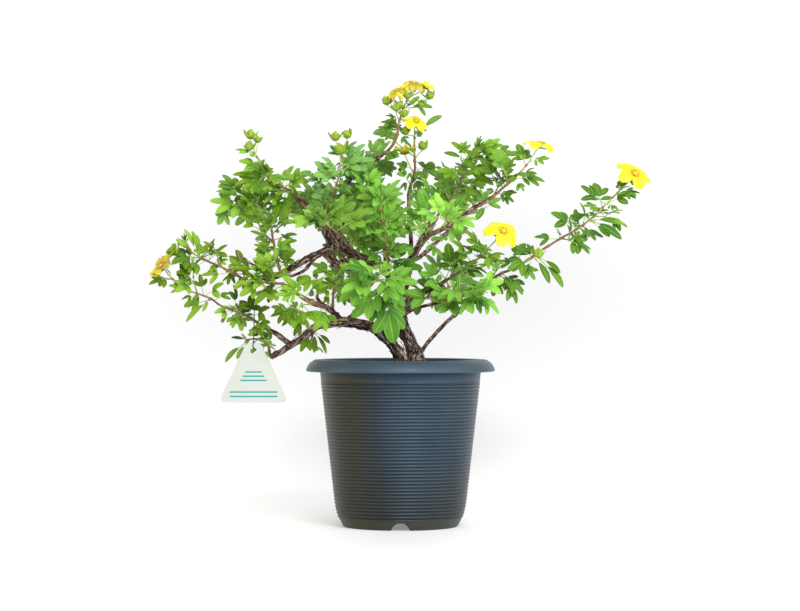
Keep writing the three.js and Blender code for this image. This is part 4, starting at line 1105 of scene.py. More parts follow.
# %% Loose shreds
SHRED_SPACING = 3.2
SHRED_LENGTHS = (7, 20)
SHRED_CURLS = (0.6, 2.0)
SHRED_WIDTHS = (0.35, 0.85)
SHRED_THICKNESS = 0.22
SHRED_ROWS = 9
THINNEST_SHREDDING = 2.1
SHRED_SEED = 300
SHRED_SHARE = 0.6
SHRED_BOWS = (2, 5)
SHRED_WINDING = (0.1, 0.5)
SHRED_LIFT = 0.25
SHRED_HOLLOW = 0.12
SHRED_RIDGES = (0.4, 0.75)
SHRED_YOUTHS = (0, 0.5)


def add_shreds(limb, seed, shreds):
    route = Route(limb["route"])
    rng = np.random.default_rng(seed + SHRED_SEED)
    for _ in range(int(route.length / SHRED_SPACING)):
        length = min(rng.uniform(*SHRED_LENGTHS), route.length * SHRED_SHARE)
        start = rng.uniform(0, route.length - length)
        share = (start + np.linspace(0, length, SHRED_ROWS)) / route.length
        line = route.point(share)
        radius = limb_radius(limb, share)
        if radius.mean() < THINNEST_SHREDDING or line[:, 2].min() < SOIL_TOP:
            continue
        side, other = sides_along(line)
        along = np.linspace(-1, 1, SHRED_ROWS)
        curl = rng.uniform(*SHRED_CURLS) * np.abs(along) ** rng.uniform(*SHRED_BOWS)
        lift = radius * 0.1 + SHRED_LIFT + curl
        width = rng.uniform(*SHRED_WIDTHS) * (1.15 - np.abs(along) ** 3)
        turn = rng.uniform(0, FULL_TURN) + along * rng.uniform(*SHRED_WINDING)
        columns = []
        for across in (-1, 0, 1):
            angle = turn + across * width / (radius + lift)
            out = np.cos(angle)[:, None] * side + np.sin(angle)[:, None] * other
            columns.append(line + out * (radius + lift - SHRED_HOLLOW * abs(across))[:, None])
        blade = blade_shell(np.stack(columns, axis=1), SHRED_THICKNESS)
        shreds.add(*blade, ridge=rng.uniform(*SHRED_RIDGES), youth=rng.uniform(*SHRED_YOUTHS))


shreds = MeshParts()
for seed, limb in enumerate(LIMBS + STRANDS):
    add_shreds(limb, seed, shreds)
seat(face_outwards(shreds.piece("bark_shreds", bark)), "bark")

# %% [markdown]
# Foliage comes next, and there is a lot of it. The part's list of masses gives each leafy stem its
# route, the spacing and length of its leaves, how many stand on spurs, and its flowers and buds.
# Those with a face are open flowers, and the others are buds. Each mass has a seed of its own,
# which counts up through the list.

# %% Table of masses
MASSES = [
    dict(name="top", spacing=10, spurs=0.2, length=23, tuft=0,
         route=[[-17, 5, 314], [-9, 1, 321], [-3, -3, 331], [-1, -4, 343], [3, -4, 356], [8, -5, 366]],
         blooms=[dict(at=1, centre=[11, -6, 375], face=[0.1, -0.35, 0.9], radius=10.5),
                 dict(at=0.8, centre=[-3, -8, 369], face=[-0.25, -0.4, 0.85], radius=9),
                 dict(at=0.9, centre=[25, -1, 366], radius=4.2),
                 dict(at=0.7, centre=[-12, -3, 361], radius=4.2),
                 dict(at=0.62, centre=[-4, -11, 355], radius=3.8)]),
    dict(name="top_stem", spacing=10, spurs=0.35, length=25, tuft=0,
         route=[[7, 24, 285], [12, 20, 302], [12, 16, 315], [12, 13, 326], [12, 8, 334]],
         blooms=[dict(at=1, centre=[13, 1, 343], face=[0.2, -0.6, 0.75], radius=11),
                 dict(at=0.95, centre=[4, 4, 336], radius=4),
                 dict(at=0.55, centre=[19, 14, 324], radius=4.5),
                 dict(at=0.3, centre=[1, 12, 318], face=[-0.1, -0.25, 1], radius=8)]),
    dict(name="upper_left", spacing=9.5, spurs=0.45, length=28, tuft=2,
         route=[[-88, 0, 280], [-94, -2, 285], [-101, -4, 288], [-108, -6, 292], [-114, -8, 300],
                [-119, -9, 308], [-123, -10, 316]],
         blooms=[dict(at=1, centre=[-127, -11, 332], radius=4.6),
                 dict(at=0.98, centre=[-121, -7, 328], radius=3.4),
                 dict(at=0.94, centre=[-128, -13, 322], radius=4.4)]),
    dict(name="left_upright", spacing=10, spurs=0.5, length=30, tuft=5,
         route=[[-101, -12, 214], [-105, -6, 228], [-108, 0, 242], [-111, 4, 259], [-116, 6, 268],
                [-123, 8, 274], [-133, 10, 279], [-140, 10, 281]]),
    dict(name="upright", spacing=10, spurs=0.45, length=30, tuft=2,
         route=[[-56, 11, 246], [-57, -2, 266], [-55, -12, 285], [-52, -14, 298], [-50, -14, 310],
                [-49, -14, 316]],
         blooms=[dict(at=1, centre=[-55, -16, 330], radius=4.4),
                 dict(at=1, centre=[-45, -13, 332], radius=4.2),
                 dict(at=0.97, centre=[-51, -18, 319], radius=5.4)]),
    dict(name="far_left_upper", spacing=11, spurs=0.4, length=30, tuft=5,
         route=[[-127, -26, 204], [-133, -25, 210], [-142, -23, 215], [-153, -22, 221], [-165, -21, 226],
                [-176, -20, 232], [-180, -20, 237]]),
    dict(name="far_left_lower", spacing=11, spurs=0.4, length=29, tuft=1,
         route=[[-120, -12, 172], [-130, -12, 179], [-149, -13, 186], [-162, -14, 194], [-179, -14, 200],
                [-189, -14, 207], [-196, -14, 213]],
         blooms=[dict(at=1, centre=[-203, -14, 222], face=[-0.7, -0.1, 0.7], radius=11.5)]),
    dict(name="left_rising", spacing=8, spurs=0.5, length=29, tuft=5,
         route=[[-94, -24, 204], [-101, -27, 206], [-109, -32, 206], [-116, -38, 208]]),
    dict(name="left_spur", spacing=9.5, spurs=0.5, length=27, tuft=4,
         route=[[-57, -16, 181], [-57, -20, 195], [-55, -24, 205], [-53, -28, 214]]),
    dict(name="left_low", spacing=9, spurs=0.5, length=27, tuft=4,
         route=[[-77, -20, 179], [-84, -24, 182], [-92, -28, 186]]),
    dict(name="left_tip", spacing=8, spurs=0.3, length=27, tuft=3, lift=[-0.6, -0.2],
         route=[[-110, -8, 145], [-113, -3, 154], [-119, 1, 158], [-127, 4, 159], [-133, 6, 156]]),
    dict(name="left_under", spacing=8, spurs=0.2, length=28, tuft=3, lift=[-0.4, 0],
         route=[[-74, -10, 168], [-75, -2, 161], [-77, 5, 156]]),
    dict(name="front_centre", spacing=9.5, spurs=0.4, length=33, tuft=5,
         route=[[-8, 4, 208], [-10, -16, 217], [-11, -32, 231], [-13, -42, 244], [-15, -50, 258],
                [-16, -54, 270]]),
    dict(name="front_low", spacing=7, spurs=0.1, length=40, tuft=4, lift=[-0.9, -0.5],
         route=[[-12, -42, 203], [-15, -52, 207], [-19, -63, 209]]),
    dict(name="right_upper", spacing=9.5, spurs=0.5, length=31, tuft=6,
         route=[[31, -2, 263], [41, -2, 276], [49, -2, 287], [54, -4, 299], [59, -6, 309], [63, -8, 315]]),
    dict(name="right_branch", spacing=10, spurs=0.4, length=29, tuft=3,
         route=[[74, -22, 276], [85, -24, 285], [94, -26, 293], [102, -27, 301], [109, -28, 309]],
         blooms=[dict(at=1, centre=[115, -28, 321], face=[0.22, -0.1, 1], radius=13)]),
    dict(name="mid_right", spacing=7, spurs=0.3, length=32, tuft=3,
         route=[[39, -30, 209], [51, -34, 216], [62, -37, 224], [69, -40, 231]],
         blooms=[dict(at=1, centre=[83, -50, 247], face=[0.1, -0.8, 0.55], radius=14.5)]),
    dict(name="far_right", spacing=11, spurs=0.45, length=30, tuft=2,
         route=[[72, -21, 206], [84, -24, 214], [94, -26, 218], [107, -28, 226], [122, -30, 236],
                [135, -31, 244], [149, -31, 252], [162, -31, 262], [172, -30, 272], [183, -29, 283],
                [188, -28, 288]],
         blooms=[dict(at=1, centre=[197, -32, 299], face=[0.35, -0.6, 0.7], radius=14.5),
                 dict(at=0.38, centre=[115, -40, 231], radius=4.6)]),
    dict(name="low_right", spacing=9, spurs=0.4, length=33, tuft=4, lift=[-0.5, -0.1],
         route=[[32, -27, 190], [41, -38, 193], [51, -48, 197], [61, -56, 199]]),
    dict(name="knot_left", spacing=9, spurs=0.5, length=30, tuft=4,
         route=[[-70, 7, 258], [-76, 16, 259], [-84, 24, 262], [-92, 31, 268]]),
    dict(name="centre_left", spacing=9, spurs=0.5, length=31, tuft=4,
         route=[[-47, 20, 285], [-38, 4, 279], [-29, -10, 275], [-24, -22, 276]]),
    dict(name="right_twin", spacing=9, spurs=0.5, length=30, tuft=4,
         route=[[28, 10, 265], [34, 14, 275], [39, 19, 285], [43, 25, 293]]),
    dict(name="back_left", spacing=11.5, spurs=0.5, length=32, tuft=5,
         route=[[-45, 13, 236], [-51, 38, 244], [-58, 62, 254], [-66, 84, 266], [-72, 98, 275]]),
    dict(name="back_centre", spacing=11.5, spurs=0.5, length=32, tuft=5,
         route=[[-14, 56, 236], [-16, 70, 248], [-19, 86, 262], [-22, 100, 274]]),
    dict(name="back_right", spacing=11.5, spurs=0.5, length=32, tuft=5,
         route=[[39, 58, 250], [48, 72, 259], [58, 88, 268], [65, 98, 275]]),
    dict(name="back_low", spacing=11.5, spurs=0.5, length=32, tuft=5,
         route=[[-25, 70, 198], [-34, 86, 203], [-44, 100, 208]]),
    dict(name="back_top", spacing=11.5, spurs=0.5, length=30, tuft=5,
         route=[[-44, 19, 294], [-38, 40, 302], [-31, 60, 308], [-24, 76, 313]]),
    dict(name="right_back", spacing=11.5, spurs=0.5, length=32, tuft=5,
         route=[[20, 36, 193], [31, 56, 198], [42, 74, 203], [52, 88, 208]]),
    dict(name="front_left", spacing=11.5, spurs=0.5, length=32, tuft=5,
         route=[[-38, 14, 231], [-43, -14, 238], [-50, -40, 246], [-58, -64, 252], [-63, -80, 257]]),
    dict(name="front_right", spacing=11.5, spurs=0.5, length=32, tuft=5,
         route=[[15, -5, 238], [21, -32, 242], [28, -56, 248], [35, -76, 252], [40, -90, 257]]),
    dict(name="front_left_low", spacing=10, spurs=0.4, length=30, tuft=4,
         route=[[-63, -18, 186], [-68, -44, 188], [-75, -66, 190], [-81, -82, 195]]),
]
print("Masses of foliage:", len(MASSES))

# %% [markdown]
# The CAD part grows each mass by a seeded rule: leaves stand round the stem in a spiral, some on
# short spurs, with a tuft at the tip. The same rule is written again here, so each leaf is drawn
# with the same numbers. The part also refuses a leaf that would touch something. Instead of testing
# that again, a leaf is kept here if the CAD mass really has a point at its tip.

# %% Seeded growth
GOLDEN_TURN = 2.39996
STEM_STEP = 18
LEAF_TRIES = 5
TRY_TURN = 0.8
TRY_SHRINK = 0.07
LEAF_LIFT = (0.15, 0.5)
LEAF_LEAN = (0.25, 0.65)
LEAF_ROLL = (-0.65, 0.65)
LEAF_SIZES = (0.85, 1.15)
SMALLER_AT_TIP = 0.2
TIP_DROOP = 0.08
SPUR_LENGTH = (7, 14)
SPUR_LEAN = 0.45
SPUR_LIFT = 0.25
SPUR_LEAF_TURN = 1.9
SPUR_LEAF_SIZE = 0.9
TUFT_AT = 0.985
TUFT_LEAF_SIZE = 0.85
FIRST_SEED = 11
TUFT_SEED = 500
TIP_MATCH = 0.6
WORD = 0xFFFFFFFF


def seeded(seed):
    """The small random-number rule of the CAD part, which draws the same numbers in the same order."""
    state = seed & WORD

    def draw(between=(0, 1)):
        nonlocal state
        state = (state + 0x6D2B79F5) & WORD
        mixed = ((state ^ (state >> 15)) * (state | 1)) & WORD
        mixed ^= (mixed + (((mixed ^ (mixed >> 7)) * (mixed | 61)) & WORD)) & WORD
        share = (mixed ^ (mixed >> 14)) / 2**32
        return between[0] + (between[1] - between[0]) * share

    return draw


def turn_about(vector, axis, angle):
    """Turns a vector about a unit axis."""
    return (vector * math.cos(angle) + np.cross(axis, vector) * math.sin(angle)
            + axis * (axis @ vector) * (1 - math.cos(angle)))


def leaf_axes(way, roll):
    """Where a leaf points, and its upper face turned to the light."""
    forward = unit(way)
    face = UP - forward * forward[2]
    if np.linalg.norm(face) < 0.2:
        face = FRONT + forward * forward[1]
    return forward, turn_about(unit(face), forward, roll)


def direction_around(route, share, turn):
    tangent = route.tangent(share)
    side = unit(np.cross(tangent, (1, 0, 0) if abs(tangent[2]) > 0.9 else UP))
    return tangent, turn_about(side, tangent, turn)


class Mass:
    """One stem with its spurs and leaves, grown as the CAD part grew it."""

    def __init__(self, table, seed):
        self.stem = table["name"]
        self.seed = seed
        self.lift = LEAF_LIFT
        self.blooms = []
        self.__dict__.update(table, name=self.stem + "_mass")
        self.curve = Route(self.route)
        self.steps = max(2, round(self.curve.length / STEM_STEP))
        low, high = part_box(self.name)
        self.low, self.high = np.array(low) / MM, np.array(high) / MM
        corners = frame["nodes"][self.name].data.vertices
        self.solid = KDTree(len(corners))
        for i, corner in enumerate(corners):
            self.solid.insert(corner.co / MM, i)
        self.solid.balance()
        self.leaves = []
        self.spurs_grown = []
        self.grow()

    def point(self, share):
        """A point of the CAD stem, which runs straight between its steps."""
        step = min(int(share * self.steps), self.steps - 1)
        start, end = self.curve.point(step / self.steps), self.curve.point((step + 1) / self.steps)
        return start + (end - start) * (share * self.steps - step)

    def place_leaf(self, root, out, tangent, draw, length, share):
        lift = draw(self.lift)
        lean = draw(LEAF_LEAN)
        roll = draw(LEAF_ROLL)
        for attempt in range(LEAF_TRIES):
            turned = turn_about(out, tangent, attempt * TRY_TURN * (1 if attempt % 2 else -1))
            forward, face = leaf_axes(turned + tangent * lean + UP * lift, roll)
            size = length * (1 - TRY_SHRINK * attempt)
            tip = root + (forward - face * TIP_DROOP) * size
            if self.solid.find(tip)[2] < TIP_MATCH:
                self.leaves.append(dict(root=root, forward=forward, face=face, size=size, share=share))
                return True
        return False

    def grow_spur(self, root, out, tangent, draw, size, share):
        reach = draw(SPUR_LENGTH)
        end = root + (out * 0.8 + tangent * SPUR_LEAN + UP * SPUR_LIFT) * reach
        way = unit(end - root)
        grown = 0
        for k in (-1, 0, 1):
            around = turn_about(out, tangent, k * SPUR_LEAF_TURN)
            base = root + (end - root) * (0.95 - 0.12 * abs(k))
            grown += self.place_leaf(base, around, way, draw, size * SPUR_LEAF_SIZE, share)
        if grown:
            self.spurs_grown.append((root, end, share))

    def grow(self):
        self.nodes = []
        count = int(self.curve.length // self.spacing)
        for i in range(1, count + 1):
            draw = seeded(self.seed * 1000 + i)
            share = (i - draw((0.25, 0.55))) / count
            turn = self.seed + i * GOLDEN_TURN + draw((-0.25, 0.25))
            tangent, out = direction_around(self.curve, share, turn)
            root = self.point(share)
            size = self.length * draw(LEAF_SIZES) * (1 - SMALLER_AT_TIP * share)
            grow = self.grow_spur if draw() < self.spurs else self.place_leaf
            grow(root, out, tangent, draw, size, share)
            self.nodes.append((share, turn, size))
        for k in range(self.tuft):
            draw = seeded(self.seed * 1000 + TUFT_SEED + k)
            tangent, out = direction_around(self.curve, TUFT_AT, self.seed + k * GOLDEN_TURN)
            size = self.length * TUFT_LEAF_SIZE
            self.place_leaf(self.point(TUFT_AT), out + tangent * 0.5, tangent, draw, size, 1.0)


masses = [Mass(table, FIRST_SEED + number) for number, table in enumerate(MASSES)]
print("Leaves that the CAD part has:", sum(len(mass.leaves) for mass in masses))
print("Spurs:", sum(len(mass.spurs_grown) for mass in masses))
print("Fewest leaves in a mass:", min((len(mass.leaves), mass.name) for mass in masses))

# %% [markdown]
# A camera sees far more leaves than the solids carry. On the real plant each node along a shoot
# also holds a bundle of smaller leaves, and the shoot's end holds narrow young ones that are still
# unfolding. They are drawn here by the same spiral with numbers of their own, and kept inside the
# box of their mass and clear of the pot, so the crown's outline stays where the part puts it.

# %% Finer leaves
REACH_SLACK = 2.5
POT_CLEARANCE = 3
BUNDLE_COUNTS = (1, 4)
BUNDLE_SIZES = (0.5, 0.85)
BUNDLE_SPREAD = (0.7, 2.4)
BUNDLE_LEAN = (0.2, 0.9)
BUNDLE_LIFT = (0.0, 0.6)
BUNDLE_ROLL = (-0.7, 0.7)
BETWEEN_SIZES = (0.55, 0.85)
BETWEEN_TURN = (1, 5)
BETWEEN_LEAN = (0.2, 0.8)
FINE_LIFT = (0.0, 0.5)
FINE_ROLL = (-0.6, 0.6)
SPUR_END_LEAVES = 2
SPUR_END_SIZES = (0.45, 0.75)
SPUR_END_LEAN = (0.4, 1.2)
YOUNG_SIZES = (0.3, 0.6)
YOUNG_COUNT = 5
YOUNG_SPREAD = (0.25, 0.7)
YOUNG_ROLL = (-0.5, 0.5)
YOUNG_LIFT = 0.2
YOUNG_LIGHTER = 0.3
SPARSE = ("far_right", "right_branch", "far_left_upper", "far_left_lower",
          "left_tip", "left_under", "top", "top_stem")
BLADE_SIDES = ((1, 0), (0.75, 0.33), (0.75, -0.33))


def is_inside(mass, leaf):
    """Whether a leaf's tip and sides stay within its mass's reach and off the pot."""
    across = np.cross(leaf["face"], leaf["forward"])
    for ahead, beside in BLADE_SIDES:
        way = leaf["forward"] * ahead + across * beside - leaf["face"] * TIP_DROOP
        spot = leaf["root"] + way * leaf["size"]
        if np.any(spot < mass.low - REACH_SLACK) or np.any(spot > mass.high + REACH_SLACK):
            return False
        if math.hypot(spot[0], spot[1]) < LIP_RADIUS + POT_CLEARANCE and spot[2] < POT_HEIGHT + 2:
            return False
    return True


def add_leaf(mass, root, way, roll, size, share, **kind):
    forward, face = leaf_axes(way, roll)
    leaf = dict(root=root, forward=forward, face=face, size=size, share=share, **kind)
    if is_inside(mass, leaf):
        mass.leaves.append(leaf)


def add_bundles(mass):
    """A few smaller leaves at every node, turned away from its own leaf, and one between nodes."""
    for number, (share, turn, size) in enumerate(mass.nodes):
        rng = np.random.default_rng(mass.seed * 1000 + number)
        for _ in range(rng.integers(*BUNDLE_COUNTS)):
            aside = rng.uniform(*BUNDLE_SPREAD) * rng.choice((-1, 1))
            tangent, out = direction_around(mass.curve, share, turn + aside)
            way = out + tangent * rng.uniform(*BUNDLE_LEAN) + UP * rng.uniform(*BUNDLE_LIFT)
            root = mass.curve.point(share) + tangent * rng.uniform(-1, 1)
            add_leaf(mass, root, way, rng.uniform(*BUNDLE_ROLL), size * rng.uniform(*BUNDLE_SIZES), share)
        between = share + 0.5 / len(mass.nodes)
        if between < 1:
            tangent, out = direction_around(mass.curve, between, turn + rng.uniform(*BETWEEN_TURN))
            way = out + tangent * rng.uniform(*BETWEEN_LEAN) + UP * rng.uniform(*FINE_LIFT)
            root = mass.curve.point(between)
            add_leaf(mass, root, way, rng.uniform(*FINE_ROLL), size * rng.uniform(*BETWEEN_SIZES), between)


def add_spur_leaves(mass):
    for number, (start, end, share) in enumerate(mass.spurs_grown):
        rng = np.random.default_rng(mass.seed * 2000 + number)
        way = unit(end - start)
        for _ in range(SPUR_END_LEAVES):
            turn = turn_about(unit(np.cross(way, rng.normal(size=3))), way, rng.uniform(0, 6.28))
            heading = turn + way * rng.uniform(*SPUR_END_LEAN) + UP * rng.uniform(*FINE_LIFT)
            size = mass.length * rng.uniform(*SPUR_END_SIZES)
            add_leaf(mass, end, heading, rng.uniform(*FINE_ROLL), size, share)


def add_young_tip(mass):
    """Narrow young leaves that stand up close round the end of a shoot."""
    if mass.blooms:
        return
    rng = np.random.default_rng(mass.seed * 3000)
    tangent = mass.curve.tangent(1.0)
    for k in range(YOUNG_COUNT):
        _, out = direction_around(mass.curve, 1.0, mass.seed + 1 + k * GOLDEN_TURN)
        way = tangent + out * rng.uniform(*YOUNG_SPREAD) + UP * YOUNG_LIFT
        size = mass.length * rng.uniform(*YOUNG_SIZES)
        roll = rng.uniform(*YOUNG_ROLL)
        add_leaf(mass, mass.curve.point(1.0), way, roll, size, 1.0, kind="young", lighter=YOUNG_LIGHTER)


for mass in masses:
    if mass.stem not in SPARSE:
        add_bundles(mass)
    add_spur_leaves(mass)
    add_young_tip(mass)
print("Leaves with the finer ones:", sum(len(mass.leaves) for mass in masses))

# %% [markdown]
# The leaves along the outline, and the broad ones that hang before the trunk, can be told apart in
# the photograph. The spiral would not put them just there, so these are placed one by one. A leaf
# is given by the column and row where it leaves its stem and where its tip shows. The stem's
# nearest point gives its root, so it always grows from the wood.

# %% Single leaves
CENTRE_COLUMN = 400
CENTRE_ROW = 305.5
OUTLINE_LEAVES = {
    "far_right": [
        (601, 205, 583, 205), (604, 203, 580, 187), (607, 205, 632, 193), (607, 206, 618, 209),
        (598, 212, 589, 215), (590, 222, 572, 213), (534, 258, 508, 270), (577, 228, 551, 212),
        (576, 228, 574, 213), (580, 226, 590, 236), (560, 240, 534, 238), (561, 238, 559, 229),
        (563, 238, 586, 248), (533, 257, 511, 246), (533, 256, 528, 243), (497, 278, 523, 293),
        (500, 277, 519, 283), (502, 277, 521, 302), (502, 276, 492, 296), (520, 266, 498, 260),
        (524, 264, 536, 279),
    ],
    "mid_right": [
        (484, 252, 468, 228), (482, 256, 505, 262), (480, 258, 462, 246), (484, 254, 497, 270),
        (482, 254, 487, 244), (472, 262, 452, 238),
    ],
    "low_right": [
        (440, 300, 402, 292), (450, 296, 428, 284), (474, 291, 487, 278), (446, 298, 424, 262),
    ],
    "right_branch": [
        (529, 162, 520, 153), (530, 162, 549, 158), (530, 161, 529, 148), (519, 174, 500, 169),
        (519, 174, 536, 171), (516, 181, 545, 178), (516, 181, 524, 191), (514, 182, 495, 184),
        (497, 195, 516, 192), (499, 193, 515, 201), (500, 192, 486, 190),
    ],
    "right_upper": [
        (474, 156, 495, 141), (476, 157, 503, 144), (477, 158, 515, 151), (475, 160, 513, 162),
        (462, 176, 438, 167), (460, 180, 437, 180), (466, 172, 494, 182),
    ],
    "top": [
        (414, 106, 433, 109), (398, 126, 381, 120), (400, 120, 386, 115), (396, 130, 373, 131),
        (394, 134, 380, 135), (390, 140, 372, 144), (396, 132, 408, 143), (385, 146, 396, 158),
    ],
    "top_stem": [
        (415, 140, 421, 131), (416, 160, 438, 176), (415, 164, 424, 181), (414, 170, 396, 163),
        (413, 178, 398, 190), (412, 186, 418, 203), (413, 182, 408, 200), (413, 172, 422, 192),
        (414, 168, 406, 180),
    ],
    "upright": [
        (341, 157, 355, 139), (341, 160, 329, 146), (340, 166, 374, 157), (339, 170, 362, 172),
        (338, 176, 318, 166),
    ],
    "far_left_upper": [
        (200, 257, 166, 252), (198, 258, 175, 262), (205, 262, 187, 270), (207, 262, 217, 272),
        (209, 256, 228, 245), (210, 256, 199, 242), (213, 262, 228, 258), (222, 268, 236, 284),
        (232, 274, 254, 268),
    ],
    "far_left_lower": [
        (172, 280, 149, 283), (188, 290, 168, 286), (187, 290, 180, 275), (198, 294, 182, 300),
        (199, 294, 188, 308), (248, 322, 270, 308), (247, 322, 262, 338), (248, 323, 272, 329),
        (206, 291, 224, 284), (206, 292, 198, 274), (214, 299, 232, 292), (234, 311, 218, 320),
        (236, 312, 232, 327), (238, 313, 247, 326), (232, 310, 249, 302),
    ],
    "left_tip": [(262, 344, 250, 328), (266, 346, 268, 326), (268, 350, 262, 330)],
    "left_low": [
        (303, 314, 281, 310), (303, 314, 281, 325), (308, 316, 290, 334), (300, 312, 292, 300),
        (296, 310, 270, 316),
    ],
    "left_under": [(311, 330, 299, 350)],
    "left_spur": [
        (337, 293, 353, 303), (337, 275, 296, 284), (336, 276, 313, 261), (336, 277, 314, 290),
        (337, 280, 328, 270), (338, 274, 347, 262), (334, 292, 322, 303), (334, 288, 318, 294),
    ],
    "left_rising": [
        (286, 284, 311, 276), (284, 284, 258, 298), (282, 283, 262, 287), (285, 284, 283, 268),
    ],
    "upper_left": [
        (262, 180, 232, 176), (264, 178, 240, 188), (268, 184, 246, 172), (281, 186, 294, 166),
        (283, 188, 309, 168), (283, 188, 303, 180), (284, 190, 264, 203), (284, 196, 275, 219),
        (258, 160, 250, 150), (262, 176, 284, 184),
    ],
    "left_upright": [
        (262, 214, 210, 200), (264, 212, 236, 186), (262, 214, 226, 212), (280, 268, 297, 252),
        (279, 262, 262, 258), (277, 250, 259, 243), (276, 246, 296, 240), (275, 236, 258, 226),
        (276, 240, 297, 234),
    ],
}
BROAD_LEAVES = {
    "front_low": [
        (386, 287, 393, 344), (384, 286, 353, 319), (386, 288, 371, 323), (378, 280, 349, 261),
        (379, 281, 344, 285), (380, 283, 386, 260), (382, 284, 411, 267), (385, 287, 406, 306),
    ],
    "front_centre": [(386, 262, 363, 252), (386, 256, 412, 246)],
    "low_right": [(472, 292, 483, 313), (466, 294, 470, 312)],
    "right_upper": [(464, 178, 499, 160)],
    "far_left_upper": [(210, 257, 214, 238)],
}
NARROW_LEAVES = {
    "far_right": [
        (593, 222, 625, 220), (593, 223, 624, 235), (593, 223, 611, 235), (536, 258, 553, 281),
        (538, 256, 566, 285), (538, 256, 562, 271), (536, 258, 524, 275), (530, 260, 514, 272),
    ],
    "right_upper": [(465, 158, 444, 152), (466, 157, 451, 141), (468, 157, 460, 142)],
    "right_branch": [(489, 200, 477, 220)],
    "far_left_upper": [
        (199, 257, 176, 239), (199, 257, 185, 229), (200, 257, 191, 231), (201, 257, 195, 235),
    ],
    "far_left_lower": [(210, 297, 187, 322), (210, 297, 204, 312), (172, 280, 167, 268)],
    "left_tip": [
        (250, 341, 223, 360), (250, 341, 235, 358), (250, 341, 231, 338), (256, 346, 239, 361),
        (265, 345, 246, 354),
    ],
    "mid_right": [(447, 280, 447, 312), (446, 281, 420, 293)],
    "left_low": [(303, 314, 309, 328), (303, 314, 288, 324), (303, 314, 301, 302)],
    "left_under": [
        (311, 330, 317, 352), (311, 330, 329, 352), (311, 330, 331, 342), (311, 330, 302, 352),
    ],
    "upright": [(341, 162, 366, 145)],
    "top_stem": [(415, 125, 442, 115)],
    "top": [(404, 108, 421, 97), (402, 112, 425, 103), (404, 110, 414, 101), (392, 136, 373, 131)],
}
PLACED_DEPTH = (-9, 5)


def at_pixel(column, row, depth):
    """The point that the camera draws at this column and row, so far from the pot's axis."""
    scale = PIXEL_SIZE * (1 + depth / CAMERA_DISTANCE)
    x = (column - CENTRE_COLUMN) * scale + CAMERA_SIDE
    return np.array([x, depth, (CENTRE_ROW - row) * scale + CAMERA_HEIGHT])


def place_single(mass, spots, rng, **kind):
    shares = np.linspace(0, 1, 60)
    stem = mass.curve.point(shares)
    for root_column, root_row, tip_column, tip_row in spots:
        drawn = np.array([at_pixel(root_column, root_row, depth) for depth in stem[:, 1]])
        share = shares[np.linalg.norm(drawn - stem, axis=1).argmin()]
        root = mass.curve.point(share)
        way = at_pixel(tip_column, tip_row, root[1] + rng.uniform(*PLACED_DEPTH)) - root
        forward, face = leaf_axes(way, 0)
        size = float(np.linalg.norm(way))
        leaf = dict(root=root, forward=forward, face=face, size=size, share=share, single=True, **kind)
        mass.leaves.append(leaf)


for mass in masses:
    rng = np.random.default_rng(mass.seed * 4000)
    place_single(mass, OUTLINE_LEAVES.get(mass.stem, []), rng)
    place_single(mass, BROAD_LEAVES.get(mass.stem, []), rng, kind="broad")
    place_single(mass, NARROW_LEAVES.get(mass.stem, []), rng, kind="narrow")
print("Leaves placed one by one:", sum(leaf.get("single", False) for mass in masses for leaf in mass.leaves))

# %% [markdown]
# The photograph shows sky through the crown in many places, and bare wood at the knot where the
# old boughs part. A spot is given by its X and Z as seen from in front, and its radius. A leaf whose
# blade lies in a gap is left out, at any depth. Before bare wood, only the leaves in front go, so
# its spots have the wood's depth too.

# %% Gaps in the crown
SKY_GAPS = (
    # High in the crown, from left to right
    (-153, 248, 6), (-136, 246, 9), (-117, 318, 5), (-102, 312, 9), (59, 339, 11), (45, 310, 6),
    (84, 267, 8), (102, 278, 5), (119, 257, 9), (144, 276, 7), (-174, 256, 7), (122, 303, 4), (180, 299, 6),
    (36, 324, 7), (73, 268, 7), (-194, 250, 7), (-179, 254, 6), (-208, 203, 8), (-151, 166, 7),
    (-138, 166, 6), (-129, 163, 5), (-92, 146, 8), (-80, 140, 6),
    # Beside the old boughs and the knot
    (-129, 231, 5), (-75, 241, 5), (-44, 239, 4), (-46, 214, 4), (-84, 207, 5), (4, 246, 5), (62, 250, 5),
    (-38, 236, 4), (-4, 238, 3), (-5, 211, 3), (34, 216, 5), (37, 234, 4), (-70, 238, 5), (-82, 240, 5),
    (-95, 256, 4), (-88, 251, 4), (-46, 236, 3), (-34, 240, 4),
    # Between the low boughs
    (-151, 194, 6), (-134, 164, 5), (-103, 189, 5), (-90, 190, 7), (28, 178, 8), (54, 175, 7),
    (-54, 160, 8), (70, 212, 4), (94, 211, 4), (126, 228, 4), (-150, 152, 6), (-141, 150, 6),
    (-145, 158, 5), (-134, 146, 5), (-137, 160, 4), (72, 176, 5), (62, 172, 5), (-104, 178, 4),
    (-97, 167, 3),
)
BARE_WOOD = (
    # The knot and the bough to its right
    (-66, 251, 6, 14), (-57, 251, 7, 16), (-52, 246, 6, 16), (-58, 240, 9, 16), (-48, 236, 9, 16),
    (-40, 232, 7, 16), (-32, 228, 7, 16), (-23, 225, 6, 14), (-50, 225, 6, 14), (-62, 228, 6, 10),
    (-70, 228, 7, 2), (-78, 223, 6, 2), (-87, 217, 6, 2),
    # The rising bough and the arch
    (-85, 200, 5, -8), (-77, 194, 5, -8), (-68, 189, 5, -8), (-60, 185, 5, -8), (-32, 176, 8, 2),
    (-62, 196, 5, -8),
    # The right crown bough and the branch that leaves it
    (12, 232, 4, -8), (17, 240, 5, -9), (23, 249, 5, -8), (29, 259, 5, -7), (34, 268, 4, -6),
    (40, 277, 3, -8), (33, 252, 4, -14), (42, 256, 4, -17), (50, 262, 4, -20), (58, 267, 4, -22),
    (67, 273, 4, -24),
)
